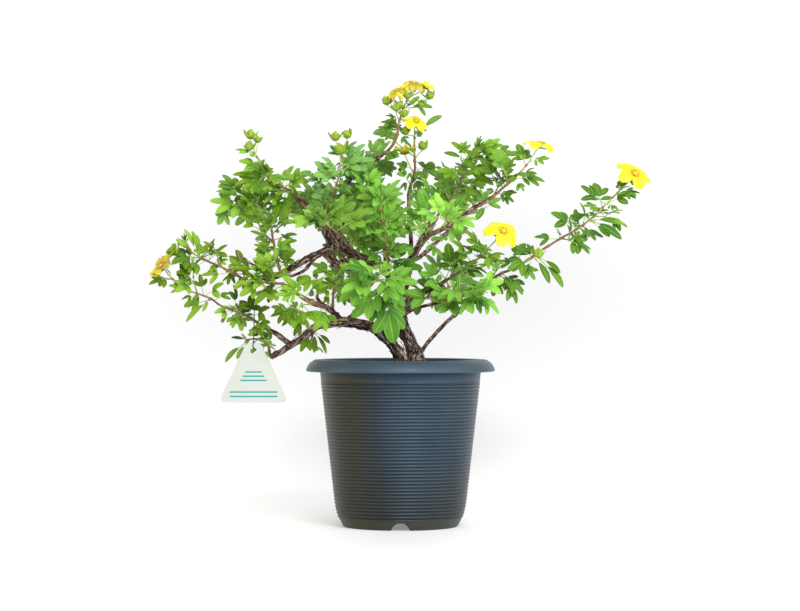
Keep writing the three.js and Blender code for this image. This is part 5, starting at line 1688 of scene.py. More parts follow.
BLADE_SPOTS = ((0.5, 0), (0.72, 0), (0.95, 0), (0.66, 0.27), (0.66, -0.27))


def as_drawn(spot):
    """A point's X and Z as the level camera draws them at the depth of the pot's axis."""
    scale = CAMERA_DISTANCE / (CAMERA_DISTANCE + spot[1])
    return (spot[0] - CAMERA_SIDE) * scale, (spot[2] - CAMERA_HEIGHT) * scale + CAMERA_HEIGHT


def is_covered(leaf, spots):
    """Whether a leaf lies in a spot. A fourth number says how deep its blade must be to stay."""
    across = np.cross(leaf["face"], leaf["forward"])
    for ahead, beside in BLADE_SPOTS:
        blade = leaf["root"] + (leaf["forward"] * ahead + across * beside) * leaf["size"]
        x, z = as_drawn(blade)
        for centre_x, centre_z, radius, *deepest in spots:
            if math.hypot(x - centre_x, z - centre_z) < radius and blade[1] < (deepest or [math.inf])[0]:
                return True
    return False


def leave_open(mass):
    kept = [leaf for leaf in mass.leaves if leaf.get("single") or not is_covered(leaf, SKY_GAPS + BARE_WOOD)]
    count = len(mass.leaves) - len(kept)
    mass.leaves = kept
    return count


print("Leaves left out:", sum(leave_open(mass) for mass in masses))

# %% [markdown]
# Leaves turn their faces to the light, which reaches them from outside the crown and from above.
# Each leaf keeps its own direction and only rolls about it, away from the crown's middle plane.

# %% Turn the leaves to the light
MIDDLE_DEPTH = 6
DEPTH_DOUBT = 14
OWN_FACE = 0.6
SIDEWAYS = 0.4
OUTWARD = 0.85
UPWARD = 0.3
LEAST_TURNABLE = 0.25


def turn_to_light(leaf, rng):
    depth = leaf["root"][1] + leaf["forward"][1] * leaf["size"] * 0.5 - MIDDLE_DEPTH
    side = -1 if depth + rng.normal(0, DEPTH_DOUBT) < 0 else 1
    wish = leaf["face"] * OWN_FACE + np.array([rng.normal(0, SIDEWAYS), side * OUTWARD, UPWARD])
    across = wish - leaf["forward"] * (wish @ leaf["forward"])
    if np.linalg.norm(across) > LEAST_TURNABLE:
        leaf["face"] = unit(across)


for mass in masses:
    rng = np.random.default_rng(mass.seed * 500)
    for leaf in mass.leaves:
        turn_to_light(leaf, rng)
print("Leaves that face the front:", sum(leaf["face"][1] < 0 for mass in masses for leaf in mass.leaves))

# %% [markdown]
# A leaf has a thin stalk and, as a rule, five leaflets: a pair near the stalk, and three at the end
# that share one base. A leaflet is widest beyond its middle and blunt at its tip. Each is built as
# a closed lens of about twenty-five faces, because it is repeated thousands of times. A dozen and a
# half patterns with their own angles and curls are enough for the crown to look varied.

# %% Leaflet shape
LEAFLET_STATIONS = (0, 0.12, 0.33, 0.58, 0.82, 0.95)
LEAFLET_WIDTHS = (0.1, 0.48, 0.9, 1.0, 0.74, 0.36)
LEAFLET_THICKNESS = 0.012
AROUND = ((0, 1), (1, 2), (2, 3), (3, 0))
STALK_SIDES = 3
POINT_MARKS = ("across", "along")


class LeafPattern:
    """A leaf one unit long: X from stalk to tip, Z its upper face."""

    def __init__(self):
        self.points = []
        self.faces = []
        self.rim = []
        self.marks = {"across": [], "along": [], "under": [], "stalk": []}

    def add(self, points, faces, rim, **marks):
        start = len(self.points)
        self.points.extend(points)
        self.faces.extend([tuple(start + i for i in face) for face in faces])
        self.rim.extend(rim)
        for label, values in marks.items():
            self.marks[label].extend(values)

    def add_leaflet(self, base, angle, length, width, fold, droop, bend, tilt):
        """One blade from base, turned by angle in the leaf's plane and tilted out of it."""
        points = []
        for t, share in zip(LEAFLET_STATIONS, LEAFLET_WIDTHS):
            half = share * width * length / 2
            x, y, z = t * length, bend * length * t * t, -droop * length * t * t
            side = z + fold * half
            points += [(x, y + half, side), (x, y, z), (x, y - half, side), (x, y, z - LEAFLET_THICKNESS)]
        tip = len(points)
        points.append((length, bend * length, -droop * length))
        faces = [(0, 1, 2, 3)]
        for a in range(0, tip - 4, 4):
            faces += [(a + j, a + 4 + j, a + 4 + k, a + k) for j, k in AROUND]
        faces += [(tip - 4 + j, tip, tip - 4 + k) for j, k in AROUND]
        turn = Matrix.Rotation(angle, 3, "Z") @ Matrix.Rotation(-tilt, 3, "Y")
        placed = [tuple(turn @ Vector(p) + Vector(base)) for p in points]
        stations = len(LEAFLET_STATIONS)
        along = [t for t in LEAFLET_STATIONS for _ in AROUND]
        self.add(placed, faces, [1, 2, 1, 0] * stations + [3], across=[1, 0, 1, 0] * stations + [0.5],
                 along=along + [1], under=[1] + [0, 0, 1, 1] * stations, stalk=[0] * len(faces))

    def add_stalk(self, line, radii):
        """A thin tube along the leaf's own stalk."""
        points = []
        for (x, y, z), radius in zip(line, radii):
            for k in range(STALK_SIDES):
                turn = k * FULL_TURN / STALK_SIDES + math.pi / 2
                points.append((x, y + radius * math.cos(turn), z - radius + radius * math.sin(turn)))
        count = len(points)
        faces = [(0, 2, 1), (count - 3, count - 2, count - 1)] + ring_faces(len(line), STALK_SIDES)
        self.add(points, faces, [0] * count, across=[0.6] * count, along=[0.5] * count,
                 under=[0] * len(faces), stalk=[1] * len(faces))

    def make(self, name):
        mesh = bpy.data.meshes.new(name)
        mesh.from_pydata(self.points, [], self.faces)
        mesh.polygons.foreach_set("use_smooth", [True] * len(self.faces))
        for label, values in self.marks.items():
            domain = "POINT" if label in POINT_MARKS else "FACE"
            mesh.attributes.new(label, "FLOAT", domain).data.foreach_set("value", values)
        creased = [bool(self.rim[a] & self.rim[b]) for a, b in (edge.vertices for edge in mesh.edges)]
        mesh.attributes.new("sharp_edge", "BOOLEAN", "EDGE").data.foreach_set("value", creased)
        return bpy.data.objects.new(name, mesh)


# %% Leaf patterns
LOWER_PAIR = 0.14
SWAY_RANGE = (-0.03, 0.03)
TURN_RANGE = (-0.14, 0.14)
WIDTH_RANGE = (0.88, 1.12)
FOLD_RANGE = (0.3, 1.6)
DROOP_RANGE = (0.2, 1.8)
BEND_RANGE = (-0.08, 0.08)
TILT_RANGE = (-0.2, 0.2)
UPPER_SIZES = (0.88, 1.04)
LOWER_SIZES = (0.7, 0.86)
STALK_THICKNESS = (0.024, 0.018, 0.016, 0.013)


def grown_leaf(name, seed, count, width, upper=0.78, lower=1.25, fold=0.26, droop=0.14, length=0.5,
               stalk=0.44):
    """A leaf of one, three or five leaflets, each a little off its place."""
    rng = np.random.default_rng(seed)
    leaf = LeafPattern()
    sway = rng.uniform(*SWAY_RANGE)
    spots = [(0, 0, 0), (0.16, sway * 0.4, 0.01), (stalk - LOWER_PAIR, sway, 0.012), (stalk, sway, 0)]
    leaf.add_stalk(spots, STALK_THICKNESS)
    middle, end = spots[2:]

    def blade(base, angle, size):
        leaf.add_leaflet(base, angle + rng.uniform(*TURN_RANGE), size, width * rng.uniform(*WIDTH_RANGE),
                         fold * rng.uniform(*FOLD_RANGE), droop * rng.uniform(*DROOP_RANGE),
                         rng.uniform(*BEND_RANGE), rng.uniform(*TILT_RANGE))

    blade((end[0], end[1], 0.002), 0, 1 - stalk)
    for side in (1, -1) if count > 1 else ():
        blade((end[0] - 0.01, end[1] + side * 0.004, 0), side * upper, length * rng.uniform(*UPPER_SIZES))
        if count == 5:
            base = (middle[0], middle[1] + side * 0.004, -0.002)
            blade(base, side * lower, length * rng.uniform(*LOWER_SIZES))
    return leaf.make(name)


LEAF_KINDS = {
    "mature": [dict(seed=40 + k, count=(5, 3)[k % 2], width=0.44 + 0.03 * (k % 3), upper=0.76 + 0.1 * (k % 3))
               for k in range(8)],
    "young": [dict(seed=60 + k, count=5, width=0.27, upper=0.4, lower=0.7, fold=0.8, droop=0.05)
              for k in range(3)],
    "broad": [dict(seed=70 + k, count=5, width=0.5, upper=0.6, lower=1.0, fold=0.2, droop=0.1, stalk=0.42)
              for k in range(3)],
    "narrow": [dict(seed=80 + k, count=1, width=0.4, stalk=0.28 + 0.12 * k) for k in range(2)],
    "long": [dict(seed=91 - k, count=3 + 2 * k, width=0.5, upper=0.9, lower=1.5, stalk=0.64, length=0.35)
             for k in range(2)],
}
shapes = []
kind_numbers = {}
for kind, versions in LEAF_KINDS.items():
    start = len(shapes)
    shapes += [grown_leaf(f"leaf_{start + k:02d}", **version) for k, version in enumerate(versions)]
    kind_numbers[kind] = range(start, len(shapes))
leaf_patterns = pattern_set("leaf_patterns", shapes)
print("Leaf patterns:", len(shapes), "faces in the first:", len(shapes[0].data.polygons))

# %% [markdown]
# Every spray has its own green: yellow-green at the left, fresh in front, blue-green where young
# down covers it, deep inside. The yellow-green is in part painted light, and the deep green in part
# painted shade. Each tint is a plain base colour with small variation. A number for each leaf then
# lightens or darkens it: partly its own tone at random, partly painted light and shade.
# The midrib is pale, the underside paler, and side veins are a gentle bump that reads how far
# along and across its blade a point lies.

# %% Leaf finishes
LEAF_TINTS = {
    "lime": ("#70880c", "#5b760a"),
    "fresh": ("#6e9314", "#567d10"),
    "bright": ("#76aa3a", "#5e982e"),
    "mid": ("#5b7e20", "#466b1a"),
    "deep": ("#527e28", "#3c671f"),
    "downy": ("#6c9852", "#548442"),
}
VEIN_PAIRS = 9.0
VEIN_SLANT = -2.0


def leaf_finish(name, light, dark):
    leaf = Finish(name, light, dark, 90, edge=0.3, grain=1800, relief=0.15, gloss=(0.45, 0.65))
    leaf.shader["Specular IOR Level"].default_value = 0.12
    shade, across, along = (leaf.read(mark) for mark in ("shade", "across", "along"))
    # The shade number lightens or darkens each leaf: partly its own tone at random, partly painted light and
    # shade.
    leaf.stain(shade, "#94c648", 0.55)
    leaf.stain(calculate(leaf.tree, "MULTIPLY", shade, -1.0), "#22500f", 0.75)
    leaf.stain(leaf.read("under"), "#93bb5c", 0.4)
    leaf.stain_range("along", 0.45, 0.0, "#2c6414", 0.55)
    leaf.stain_range("across", 0.14, 0.03, "#b2d668", 0.28)
    leaf.stain_range("across", 0.9, 1.0, "#b7d884", 0.5)
    leaf.stain(leaf.read("stalk"), "#a3bf58", 0.9)
    slant = calculate(leaf.tree, "MULTIPLY_ADD", across, VEIN_SLANT, along)
    step = calculate(leaf.tree, "MULTIPLY_ADD", along, VEIN_PAIRS, slant)
    leaf.tree.links.new(calculate(leaf.tree, "PINGPONG", step, 0.5), leaf.grain.inputs["Height"])
    return leaf


leaf_finishes = {name: leaf_finish(name + "_leaf", *tints) for name, tints in LEAF_TINTS.items()}
print("Leaf finishes:", list(leaf_finishes))

# %% [markdown]
# The leaves are dealt out by one tree. Each leaf starts as a bare point that knows its direction,
# its upper face, its size and its pattern, so all of the growing stays in the rule above. The tree
# turns these four into instances and makes them real.

# %% Deal out shapes with Geometry Nodes
def build_dealing_tree():
    tree, given, result = geometry_tree("deal_shapes", Shapes="NodeSocketCollection")
    forward, face, size = (named(tree, name, "FLOAT_VECTOR") for name in ("forward", "face", "size"))
    turn = place(tree, "FunctionNodeAxesToRotation", {"Primary Axis": forward, "Secondary Axis": face},
                 primary_axis="X", secondary_axis="Z").outputs[0]
    kind = place(tree, "FunctionNodeFloatToInt", {0: named(tree, "kind")}).outputs[0]
    dealt = deal_out(tree, given["Geometry"], given["Shapes"], Instance_Index=kind, Rotation=turn, Scale=size)
    return close_tree(tree, dealt, given, result)


dealing = build_dealing_tree()

# %% Leaves
SPRAY_TINTS = {
    "lime": ("far_left_upper", "far_left_lower", "left_tip", "left_under", "left_low", "left_rising"),
    "fresh": ("left_upright", "left_spur", "right_upper", "upper_left", "front_left_low", "mid_right",
              "knot_left"),
    "bright": ("front_low", "front_centre", "right_twin", "front_right", "centre_left", "low_right"),
    "mid": ("right_branch", "far_right", "top", "front_left", "top_stem", "back_low"),
    "deep": ("back_left", "back_centre", "back_right", "back_top", "right_back"),
    "downy": ("upright",),
}
# Whole sprays are lightened or darkened here as painted light and shade.
SPRAY_SHADES = {
    "front_low": -0.2, "front_centre": -0.1, "front_left_low": -0.15, "mid_right": -0.2, "low_right": -0.2,
    "far_right": -0.25, "knot_left": 0.3, "centre_left": 0.2, "upper_left": 0.1, "top": -0.1,
    "front_left": 0.15, "front_right": 0.08,
}
SHADE_SPREAD = 0.42
SHADE_TOWARDS_TIP = 0.3
LONG_LEAF = 34


def choose_pattern(leaf, rng):
    """The number of one of the patterns of the leaf's kind."""
    usual = "long" if leaf.get("single") and leaf["size"] > LONG_LEAF else "mature"
    numbers = kind_numbers[leaf.get("kind", usual)]
    return numbers[rng.integers(len(numbers))]


def dress_leaves(tint_name, stems):
    """Deals the leaves of some stems out as one piece of one tint."""
    leaves, kinds, shades = [], [], []
    sprays = [mass for mass in masses if mass.stem in stems]
    for mass in sprays:
        rng = np.random.default_rng(mass.seed * 77)
        usual = SPRAY_SHADES.get(mass.stem, 0)
        for leaf in mass.leaves:
            kinds.append(choose_pattern(leaf, rng))
            shade = rng.normal(usual, SHADE_SPREAD) + leaf.get("lighter", 0)
            shades.append(float(np.clip(shade + SHADE_TOWARDS_TIP * (leaf["share"] - 0.5), -1, 1)))
            leaves.append(leaf)
    columns = {key: [leaf[key] for leaf in leaves] for key in ("root", "forward", "face", "size")}
    sizes = np.repeat(np.array(columns["size"])[:, None], 3, axis=1) * MM
    attributes = {"forward": columns["forward"], "face": columns["face"], "kind": kinds, "shade": shades,
                  "size": sizes}
    piece = make_piece(tint_name + "_leaves", columns["root"], [], attributes=attributes)
    run_tree(piece, dealing, leaf_finishes[tint_name], Shapes=leaf_patterns)
    seat(piece, "foliage", *[mass.name for mass in sprays])


for tint_name, stems in SPRAY_TINTS.items():
    dress_leaves(tint_name, stems)
drop_patterns(leaf_patterns)

# %% [markdown]
# Leafy shoots are thin, brown below and pale green at the growing end. Orange-brown papery sheaths
# wrap them at each leaf. Stems, spurs and the stalks of flowers are all lines with a radius, so one
# tree sweeps them into tubes. It reads an age for each point, and the finish turns it into colour.

# %% Twig finish
twig_skin = Finish("twig_skin", "#80603c", "#65462a", 240, grain=2000, relief=0.4, gloss=(0.38, 0.6))
twig_skin.stain_range("age", 0.6, 0.2, "#9fb562", 0.95)
twig_skin.stain_range("age", 0.8, 1.1, "#553226", 0.9)
twig_skin.stain_range("age", 1.5, 1.7, "#8a5a30", 0.9)
print("Finish:", twig_skin.material.name)

# %% Sweep twigs with Geometry Nodes
TWIG_SIDES = 6


def build_twig_tree():
    tree, given, result = geometry_tree("sweep_twigs", Sides="NodeSocketInt")
    lines = place(tree, "GeometryNodeMeshToCurve", {"Mesh": given["Geometry"]}).outputs[0]
    ring = place(tree, "GeometryNodeCurvePrimitiveCircle", {"Resolution": given["Sides"], "Radius": 1.0})
    tube = place(tree, "GeometryNodeCurveToMesh", {"Curve": lines, "Profile Curve": ring.outputs[0],
                                                   "Scale": named(tree, "radius"), "Fill Caps": True})
    smooth = place(tree, "GeometryNodeSetShadeSmooth", {"Geometry": tube.outputs[0]}).outputs[0]
    return close_tree(tree, smooth, given, result)


twig_sweeping = build_twig_tree()


class Lines:
    """Collects lines of points, each with a radius and an age."""

    def __init__(self):
        self.points = []
        self.edges = []
        self.radius = []
        self.age = []

    def add(self, points, radius, age):
        start, count = len(self.points), len(points)
        self.points.extend(np.asarray(points).tolist())
        self.edges.extend([(start + i, start + i + 1) for i in range(count - 1)])
        self.radius.extend((np.broadcast_to(radius, count) * MM).tolist())
        self.age.extend(np.broadcast_to(age, count).tolist())

    def sweep(self, name, finish):
        attributes = {"radius": self.radius, "age": self.age}
        piece = make_piece(name, self.points, [], edges=self.edges, attributes=attributes)
        return run_tree(piece, twig_sweeping, finish, Sides=TWIG_SIDES)


# %% Young twigs
TWIG_STEP = 2.5
STEM_RADII = (1.3, 0.7)
STEM_AGES = (1.15, 0.2)
SHEATH_AGE = 2
SHEATH_LENGTH = (2, 4.5)
SHEATH_SWELLING = (0.25, 0.5)
SHEATH_STATIONS = np.array([-0.5, -0.2, 0.2, 0.5])
SHEATH_SHAPE = np.array([0, 1, 0.8, 0.2])
STEM_SWAY = 0.35
STEM_SWAY_REACH = 6
SPUR_BOW = 0.6
SPUR_RADII = (0.75, 0.55)
STALK_RADII = (0.62, 0.5)


def taper(share, ends):
    return np.interp(share, (0, 1), ends)


def bowed(start, end, sag, seed):
    """A line from start to end that bows a little, as a stalk does."""
    count = max(4, round(float(np.linalg.norm(end - start)) / TWIG_STEP))
    t = np.linspace(0, 1, count)[:, None]
    side = unit(np.random.default_rng(seed).normal(size=3))
    return start + (end - start) * t + side * sag * np.sin(t * math.pi)


def add_twigs(mass, twigs):
    """The stem of a mass, its spurs, and a sheath at every leaf."""
    share = np.linspace(0, 1, max(6, round(mass.curve.length / TWIG_STEP)))
    line = mass.curve.point(share)
    for k in range(3):
        sway = wander(share * mass.curve.length, mass.seed * 7 + k, STEM_SWAY_REACH)
        line[:, k] += STEM_SWAY * sway * np.sin(share * math.pi)
    twigs.add(line, taper(share, STEM_RADII), taper(share, STEM_AGES))
    for number, (start, end, at) in enumerate(mass.spurs_grown):
        line = bowed(start, end, SPUR_BOW, mass.seed * 50 + number)
        share = np.linspace(0, 1, len(line))
        twigs.add(line, taper(share, SPUR_RADII), taper(share, (0.8 - 0.3 * at, 0.25)))
    for number, (share, _, _) in enumerate(mass.nodes):
        rng = np.random.default_rng(mass.seed * 900 + number)
        reach = rng.uniform(*SHEATH_LENGTH) / mass.curve.length
        line = mass.curve.point(np.clip(share + reach * SHEATH_STATIONS, 0, 1))
        swelling = rng.uniform(*SHEATH_SWELLING) * SHEATH_SHAPE
        twigs.add(line, taper(share, STEM_RADII) + swelling, SHEATH_AGE)


twigs = Lines()
for mass in masses:
    add_twigs(mass, twigs)
seat(twigs.sweep("young_twigs", twig_skin), "foliage", *[mass.name for mass in masses])

# %% [markdown]
# The flowers are like small yellow roses with five petals. A petal is a round sheet on a narrow
# claw, with space on both sides of it, and it arches over and ripples at its rim. It is made as a
# grid of points with a thickness, so it stays a closed shell. Green sepals stand below it, and a
# ring of orange stamens within. Each flower has a mood, which tells how far its petals have gone.
# A petal is darker at its root and edges and darker still with its mood, partly its own colour
# and partly painted shade.

# %% Flower finishes
def ripe_finish(name, main, patch, deep, gloss):
    """Petals, buds and stamens: a main colour, and a deeper one where the attribute says so."""
    finish = Finish(name, main, patch, 160, edge=0.3, grain=900, relief=0.1, gloss=gloss)
    finish.stain(finish.read("deep"), deep, 0.9)
    return finish


# The petals' deeper colour is partly their own and partly painted shade.
petal_skin = ripe_finish("petal_skin", "#fbee06", "#f5df02", "#8f8420", (0.45, 0.6))
stamen_skin = ripe_finish("stamen_skin", "#e0ac1c", "#cc931a", "#c4b43c", (0.6, 0.8))
calyx_skin = ripe_finish("calyx_skin", "#85a11c", "#6e8a16", "#b98e30", (0.5, 0.7))
print("Finishes:", [finish.material.name for finish in (petal_skin, stamen_skin, calyx_skin)])

# %% Petals and sepals
PETAL_GRID = (9, 9)
PETAL_THICKNESS = 0.22
PETAL_HALF = 0.36
PETAL_ROOT = 0.1
PETAL_ARCH = 0.16
PETAL_LIFT = 0.03
NOTCH_DEPTH = 0.03
NOTCH_WIDTH = 0.25
ROOT_COLOUR_AND_SHADE = 0.6
RIM_SHADE = 0.16
SEPAL_GRID = (6, 3)
SEPAL_THICKNESS = 0.3


def head_turn(face):
    """The turn that takes +Z to the way a flower faces."""
    return np.array(Vector((0, 0, 1)).rotation_difference(Vector(face)).to_matrix())


def spin(points, turn):
    """Turns points about Z."""
    return points @ np.array(Matrix.Rotation(turn, 3, "Z")).T


def grid_steps(rows, columns):
    """Shares from root to tip down the rows, and from side to side over the columns."""
    return np.linspace(0, 1, rows)[:, None], np.linspace(-1, 1, columns)[None]


def as_grid(*axes):
    return np.stack(np.broadcast_arrays(*axes), axis=-1)


def petal(radius, turn, cup, ripple, rng, length, width):
    """One petal of a flower that faces +Z, and how deep its colour is at each point."""
    s, c = grid_steps(*PETAL_GRID)
    half = PETAL_HALF * width * np.sin(math.pi * (0.05 + 0.87 * s**1.2)) ** 0.8
    reach = PETAL_ROOT + 0.9 * s * (1 - 0.1 * np.abs(c) ** 2 * s) * length
    notch = -NOTCH_DEPTH * np.exp(-((c / NOTCH_WIDTH) ** 2)) * s**6
    waves = rng.uniform(0, 6.28, 2)
    z = radius * (cup * s**1.8 + PETAL_ARCH * np.sin(math.pi * s) - 0.1 * np.abs(c) ** 2 * s)
    z = z + radius * ripple * s**2 * (np.sin(4 * c + waves[0]) + 0.6 * np.sin(7 * c + waves[1]))
    # Darker at the root, partly its own colour and partly painted shade, and along the edges as painted
    # shade.
    deep = ROOT_COLOUR_AND_SHADE * (1 - s) ** 2.6 + RIM_SHADE * (np.abs(c) > 0.9)
    grid = as_grid((reach + notch) * radius, c * half * radius, z + PETAL_LIFT * radius)
    return spin(grid, turn), np.tile(deep.ravel(), 2)


def sepal(length, half, turn, cup):
    """A pointed green sepal."""
    s, c = grid_steps(*SEPAL_GRID)
    width = half * np.sin(math.pi * (0.12 + 0.86 * s)) ** 0.8
    grid = as_grid(s * length, c * width, cup * length * s**1.5 + 0.12 * width * np.abs(c))
    points, faces = blade_shell(grid, SEPAL_THICKNESS)
    return spin(points, turn), faces


# %% Stamens
STAMEN_COUNT = 22
DOME_LIFT = 0.1
DOME_SIZE = (0.15, 0.15, 0.12)
DOME_STEPS = (5, 10)
ROD_REACHES = (0.15, 0.3)
ROD_HEIGHTS = (0.14, 0.24)
ROD_ROOT = (0.5, 0.5, 0.3)
ROD_HALF = 0.1
ROD_RIDGE = 0.15
HEAD_SIZE = (0.045, 0.03, 0.03)
HEAD_SIZES = (0.8, 1.2)
HEAD_STEPS = (4, 5)
ROD_FACES = [(0, 2, 1), (3, 4, 5), (0, 1, 4, 3), (1, 2, 5, 4), (2, 0, 3, 5)]


def round_shell(first, rings, last):
    """A closed round shape: a pole, rings of points, and the other pole."""
    count, sides = rings.shape[:2]
    end = count * sides + 1
    faces = [(0, 1 + (j + 1) % sides, 1 + j) for j in range(sides)] + ring_faces(count, sides, 1)
    faces += [(end, end - sides + j, end - sides + (j + 1) % sides) for j in range(sides)]
    return np.vstack([first, rings.reshape(-1, 3), last]), faces


def ring_steps(rings, sides):
    """Shares from pole to pole down the rings, and the angles round them."""
    return np.arange(1, rings)[:, None] / rings, np.arange(sides)[None] * FULL_TURN / sides


def ball(centre, size, rings, sides):
    """A small closed ball with a pole at each end."""
    tilt, angle = ring_steps(rings, sides)
    tilt = tilt * math.pi
    shape = as_grid(np.sin(tilt) * np.cos(angle), np.sin(tilt) * np.sin(angle), np.cos(tilt))
    points, faces = round_shell((0, 0, 1), shape, (0, 0, -1))
    return points * size + centre, faces


def add_stamens(centre, turn, radius, stamens, rng):
    """A dome of pistils and a ring of rods round it, each with a small head."""
    points, faces = ball((0, 0, DOME_LIFT * radius), np.array(DOME_SIZE) * radius, *DOME_STEPS)
    stamens.add(points @ turn.T + centre, faces, deep=0.8)
    for k in range(STAMEN_COUNT):
        angle = k * GOLDEN_TURN
        reach, height = radius * rng.uniform(*ROD_REACHES), radius * rng.uniform(*ROD_HEIGHTS)
        head = np.array([reach * math.cos(angle), reach * math.sin(angle), height])
        across = np.array([-math.sin(angle), math.cos(angle), 0]) * ROD_HALF
        rod = np.array([end + side for end in (head * ROD_ROOT, head)
                        for side in (across, -across, (0, 0, ROD_RIDGE))])
        stamens.add(rod @ turn.T + centre, ROD_FACES, deep=0.3)
        points, faces = ball(head, np.array(HEAD_SIZE) * radius * rng.uniform(*HEAD_SIZES), *HEAD_STEPS)
        stamens.add(points @ turn.T + centre, faces, deep=0.0)


# %% Flowers
SEPAL_COUNT = 10
SEPAL_STEP = 0.6283
SEPAL_START = 0.63
SEPAL_SIZES = ((0.09, 0.56), (0.16, 0.62))
SEPAL_RAISED = 0.3
SEPAL_LOWERED = -0.05
CALYX_DROP = 0.14
PETAL_TURNS = (-0.1, 0.1)
PETAL_CUPS = (-0.12, 0.1)
PETAL_LENGTHS = (0.9, 1.05)
PETAL_WIDTHS = (0.88, 1.08)
PETAL_FADE_AND_SHADE = (0.4, 1)
# Petals, cup, ripple, width, length and fading, which darkens the petals partly with age and partly as
# painted shade
MOODS = {
    "open": (5, -0.16, 0.03, 1.08, 1.0, 0),
    "fading": (5, 0.05, 0.08, 1.0, 1.0, 1.1),
    "wilting": (8, -0.45, 0.18, 0.95, 0.95, 1.0),
    "spent": (6, 0.62, 0.1, 1.15, 1.1, 0.2),
}


def add_flower(bloom, petals, stamens, calyx, seed):
    rng = np.random.default_rng(seed)
    radius, centre, turn = bloom["radius"], np.array(bloom["centre"], float), head_turn(bloom["face"])
    count, cup, ripple, width, length, fade_and_shade = MOODS[bloom.get("mood", "open")]
    for k in range(count):
        turned = k * FULL_TURN / count + bloom.get("turn", seed) + rng.uniform(*PETAL_TURNS)
        grid, deep = petal(radius, turned, cup + rng.uniform(*PETAL_CUPS), ripple, rng,
                           length * rng.uniform(*PETAL_LENGTHS), width * rng.uniform(*PETAL_WIDTHS))
        points, faces = blade_shell(grid, PETAL_THICKNESS)
        deep = np.clip(deep + fade_and_shade * rng.uniform(*PETAL_FADE_AND_SHADE), 0, 1)
        petals.add(points @ turn.T + centre, faces, deep=deep)
    add_stamens(centre, turn, radius, stamens, rng)
    for k in range(SEPAL_COUNT):
        wide, size = SEPAL_SIZES[k % 2]
        turned = k * SEPAL_STEP + seed + SEPAL_START
        rise = SEPAL_RAISED if cup > 0 else SEPAL_LOWERED
        points, faces = sepal(radius * size, radius * wide, turned, rise)
        calyx.add((points - (0, 0, CALYX_DROP * radius)) @ turn.T + centre, faces, deep=0.0)


# %% [markdown]
# A bud is a green globe that five sepals close over, with a point at the top where they meet. Five
# narrower leaves stand outside it. A round shape with five soft lobes gives the globe.

# %% Buds
BUD_RINGS = 9
BUD_SIDES = 20
BUD_LOBES = 5
BUD_LEAN = 0.22
BUD_WAIST = 0.92
BUD_FOOT = -0.95
BUD_HEIGHT = 2.15
BUD_POINT = 1.25
BUD_SIZE = (0.86, 0.86, 0.8)
LOBE_DEPTH = 0.09
RIPE_FROM = 0.35
RIPE_MOST = 0.6


def add_bud(bloom, calyx, seed):
    rng = np.random.default_rng(seed)
    radius, centre = bloom["radius"], np.array(bloom["centre"], float)
    turn = head_turn(unit(UP + rng.normal(0, BUD_LEAN, 3)))
    t, angle = ring_steps(BUD_RINGS, BUD_SIDES)
    swell = BUD_WAIST * np.sin(math.pi * t**0.8) ** 0.75 * (1 - 0.3 * np.maximum(0, t - 0.6))
    swell = swell * (1 + LOBE_DEPTH * np.cos(BUD_LOBES * angle))
    rings = as_grid(swell * np.cos(angle), swell * np.sin(angle), BUD_FOOT + BUD_HEIGHT * t**1.05)
    globe, faces = round_shell((0, 0, BUD_FOOT), rings, (0, 0, BUD_POINT))
    globe = globe * radius * BUD_SIZE
    ripe = np.clip((globe[:, 2] / radius - RIPE_FROM) * 0.9, 0, RIPE_MOST)
    calyx.add(globe @ turn.T + centre, faces, deep=ripe)
    s, c = grid_steps(*SEPAL_GRID)
    for k in range(BUD_LOBES):
        out = radius * (0.35 + 0.66 * np.sin(s * 1.7) + rng.uniform(0.1, 0.6) * 0.7 * s**3)
        half = radius * 0.42 * np.sin(math.pi * (0.15 + 0.83 * s)) ** 0.8
        shell, faces = blade_shell(as_grid(out, c * half, radius * (-0.68 + 1.35 * s)), SEPAL_THICKNESS)
        calyx.add(spin(shell, k * 2 * SEPAL_STEP + seed + 0.6) @ turn.T + centre, faces, deep=0.0)


# %% Blossom
# How an open flower of the list differs, by its mass and its place there
LOOKS = {
    ("top", 0): dict(mood="wilting", swell=1.1),
    ("top", 1): dict(mood="wilting", swell=1.1),
    ("top_stem", 0): dict(face=[0.25, -0.5, 0.75], turn=0.4, swell=1.1),
    ("top_stem", 3): dict(mood="spent", turn=0.4, swell=1.1, centre=[3.6, 12, 317.5]),
    ("right_branch", 0): dict(face=[0.2, -0.12, 0.97], turn=0.5, swell=1.12, centre=[117, -28, 322]),
    ("mid_right", 0): dict(face=[0.35, -0.66, 0.65], turn=0.95, swell=1.16, centre=[84.8, -50, 248]),
    ("far_right", 0): dict(face=[0.42, -0.58, 0.7], turn=0.2, swell=1.2, centre=[195.5, -32, 296.5]),
    ("far_left_lower", 0): dict(mood="fading", face=[-0.62, -0.42, 0.62], swell=1.3,
                                     centre=[-201, -14, 220]),
}
MORE_BLOOMS = {
    "top": [
        dict(at=0.7, centre=[-1, -8, 357], radius=3.8),
        dict(at=0.55, centre=[3, -10, 350], radius=3.8),
        dict(at=0.9, centre=[6, -9, 365], radius=3.4),
        dict(at=0.8, centre=[18, -9, 358], radius=3.6),
        dict(at=0.95, centre=[22, -6, 372], face=[0.5, -0.5, 0.6], radius=5.5, mood="spent"),
    ],
    "top_stem": [dict(at=0.6, centre=[-7, 4, 332], radius=3.4)],
}
BUD_SWELL = 1.12
FLOWER_BACK = 0.12
BUD_BACK = 0.7
STALK_BOW = 0.7
STALK_RIPENESS = (0.3, 0.0)
petals, stamens, calyx = MeshParts(), MeshParts(), MeshParts()
stalks = Lines()


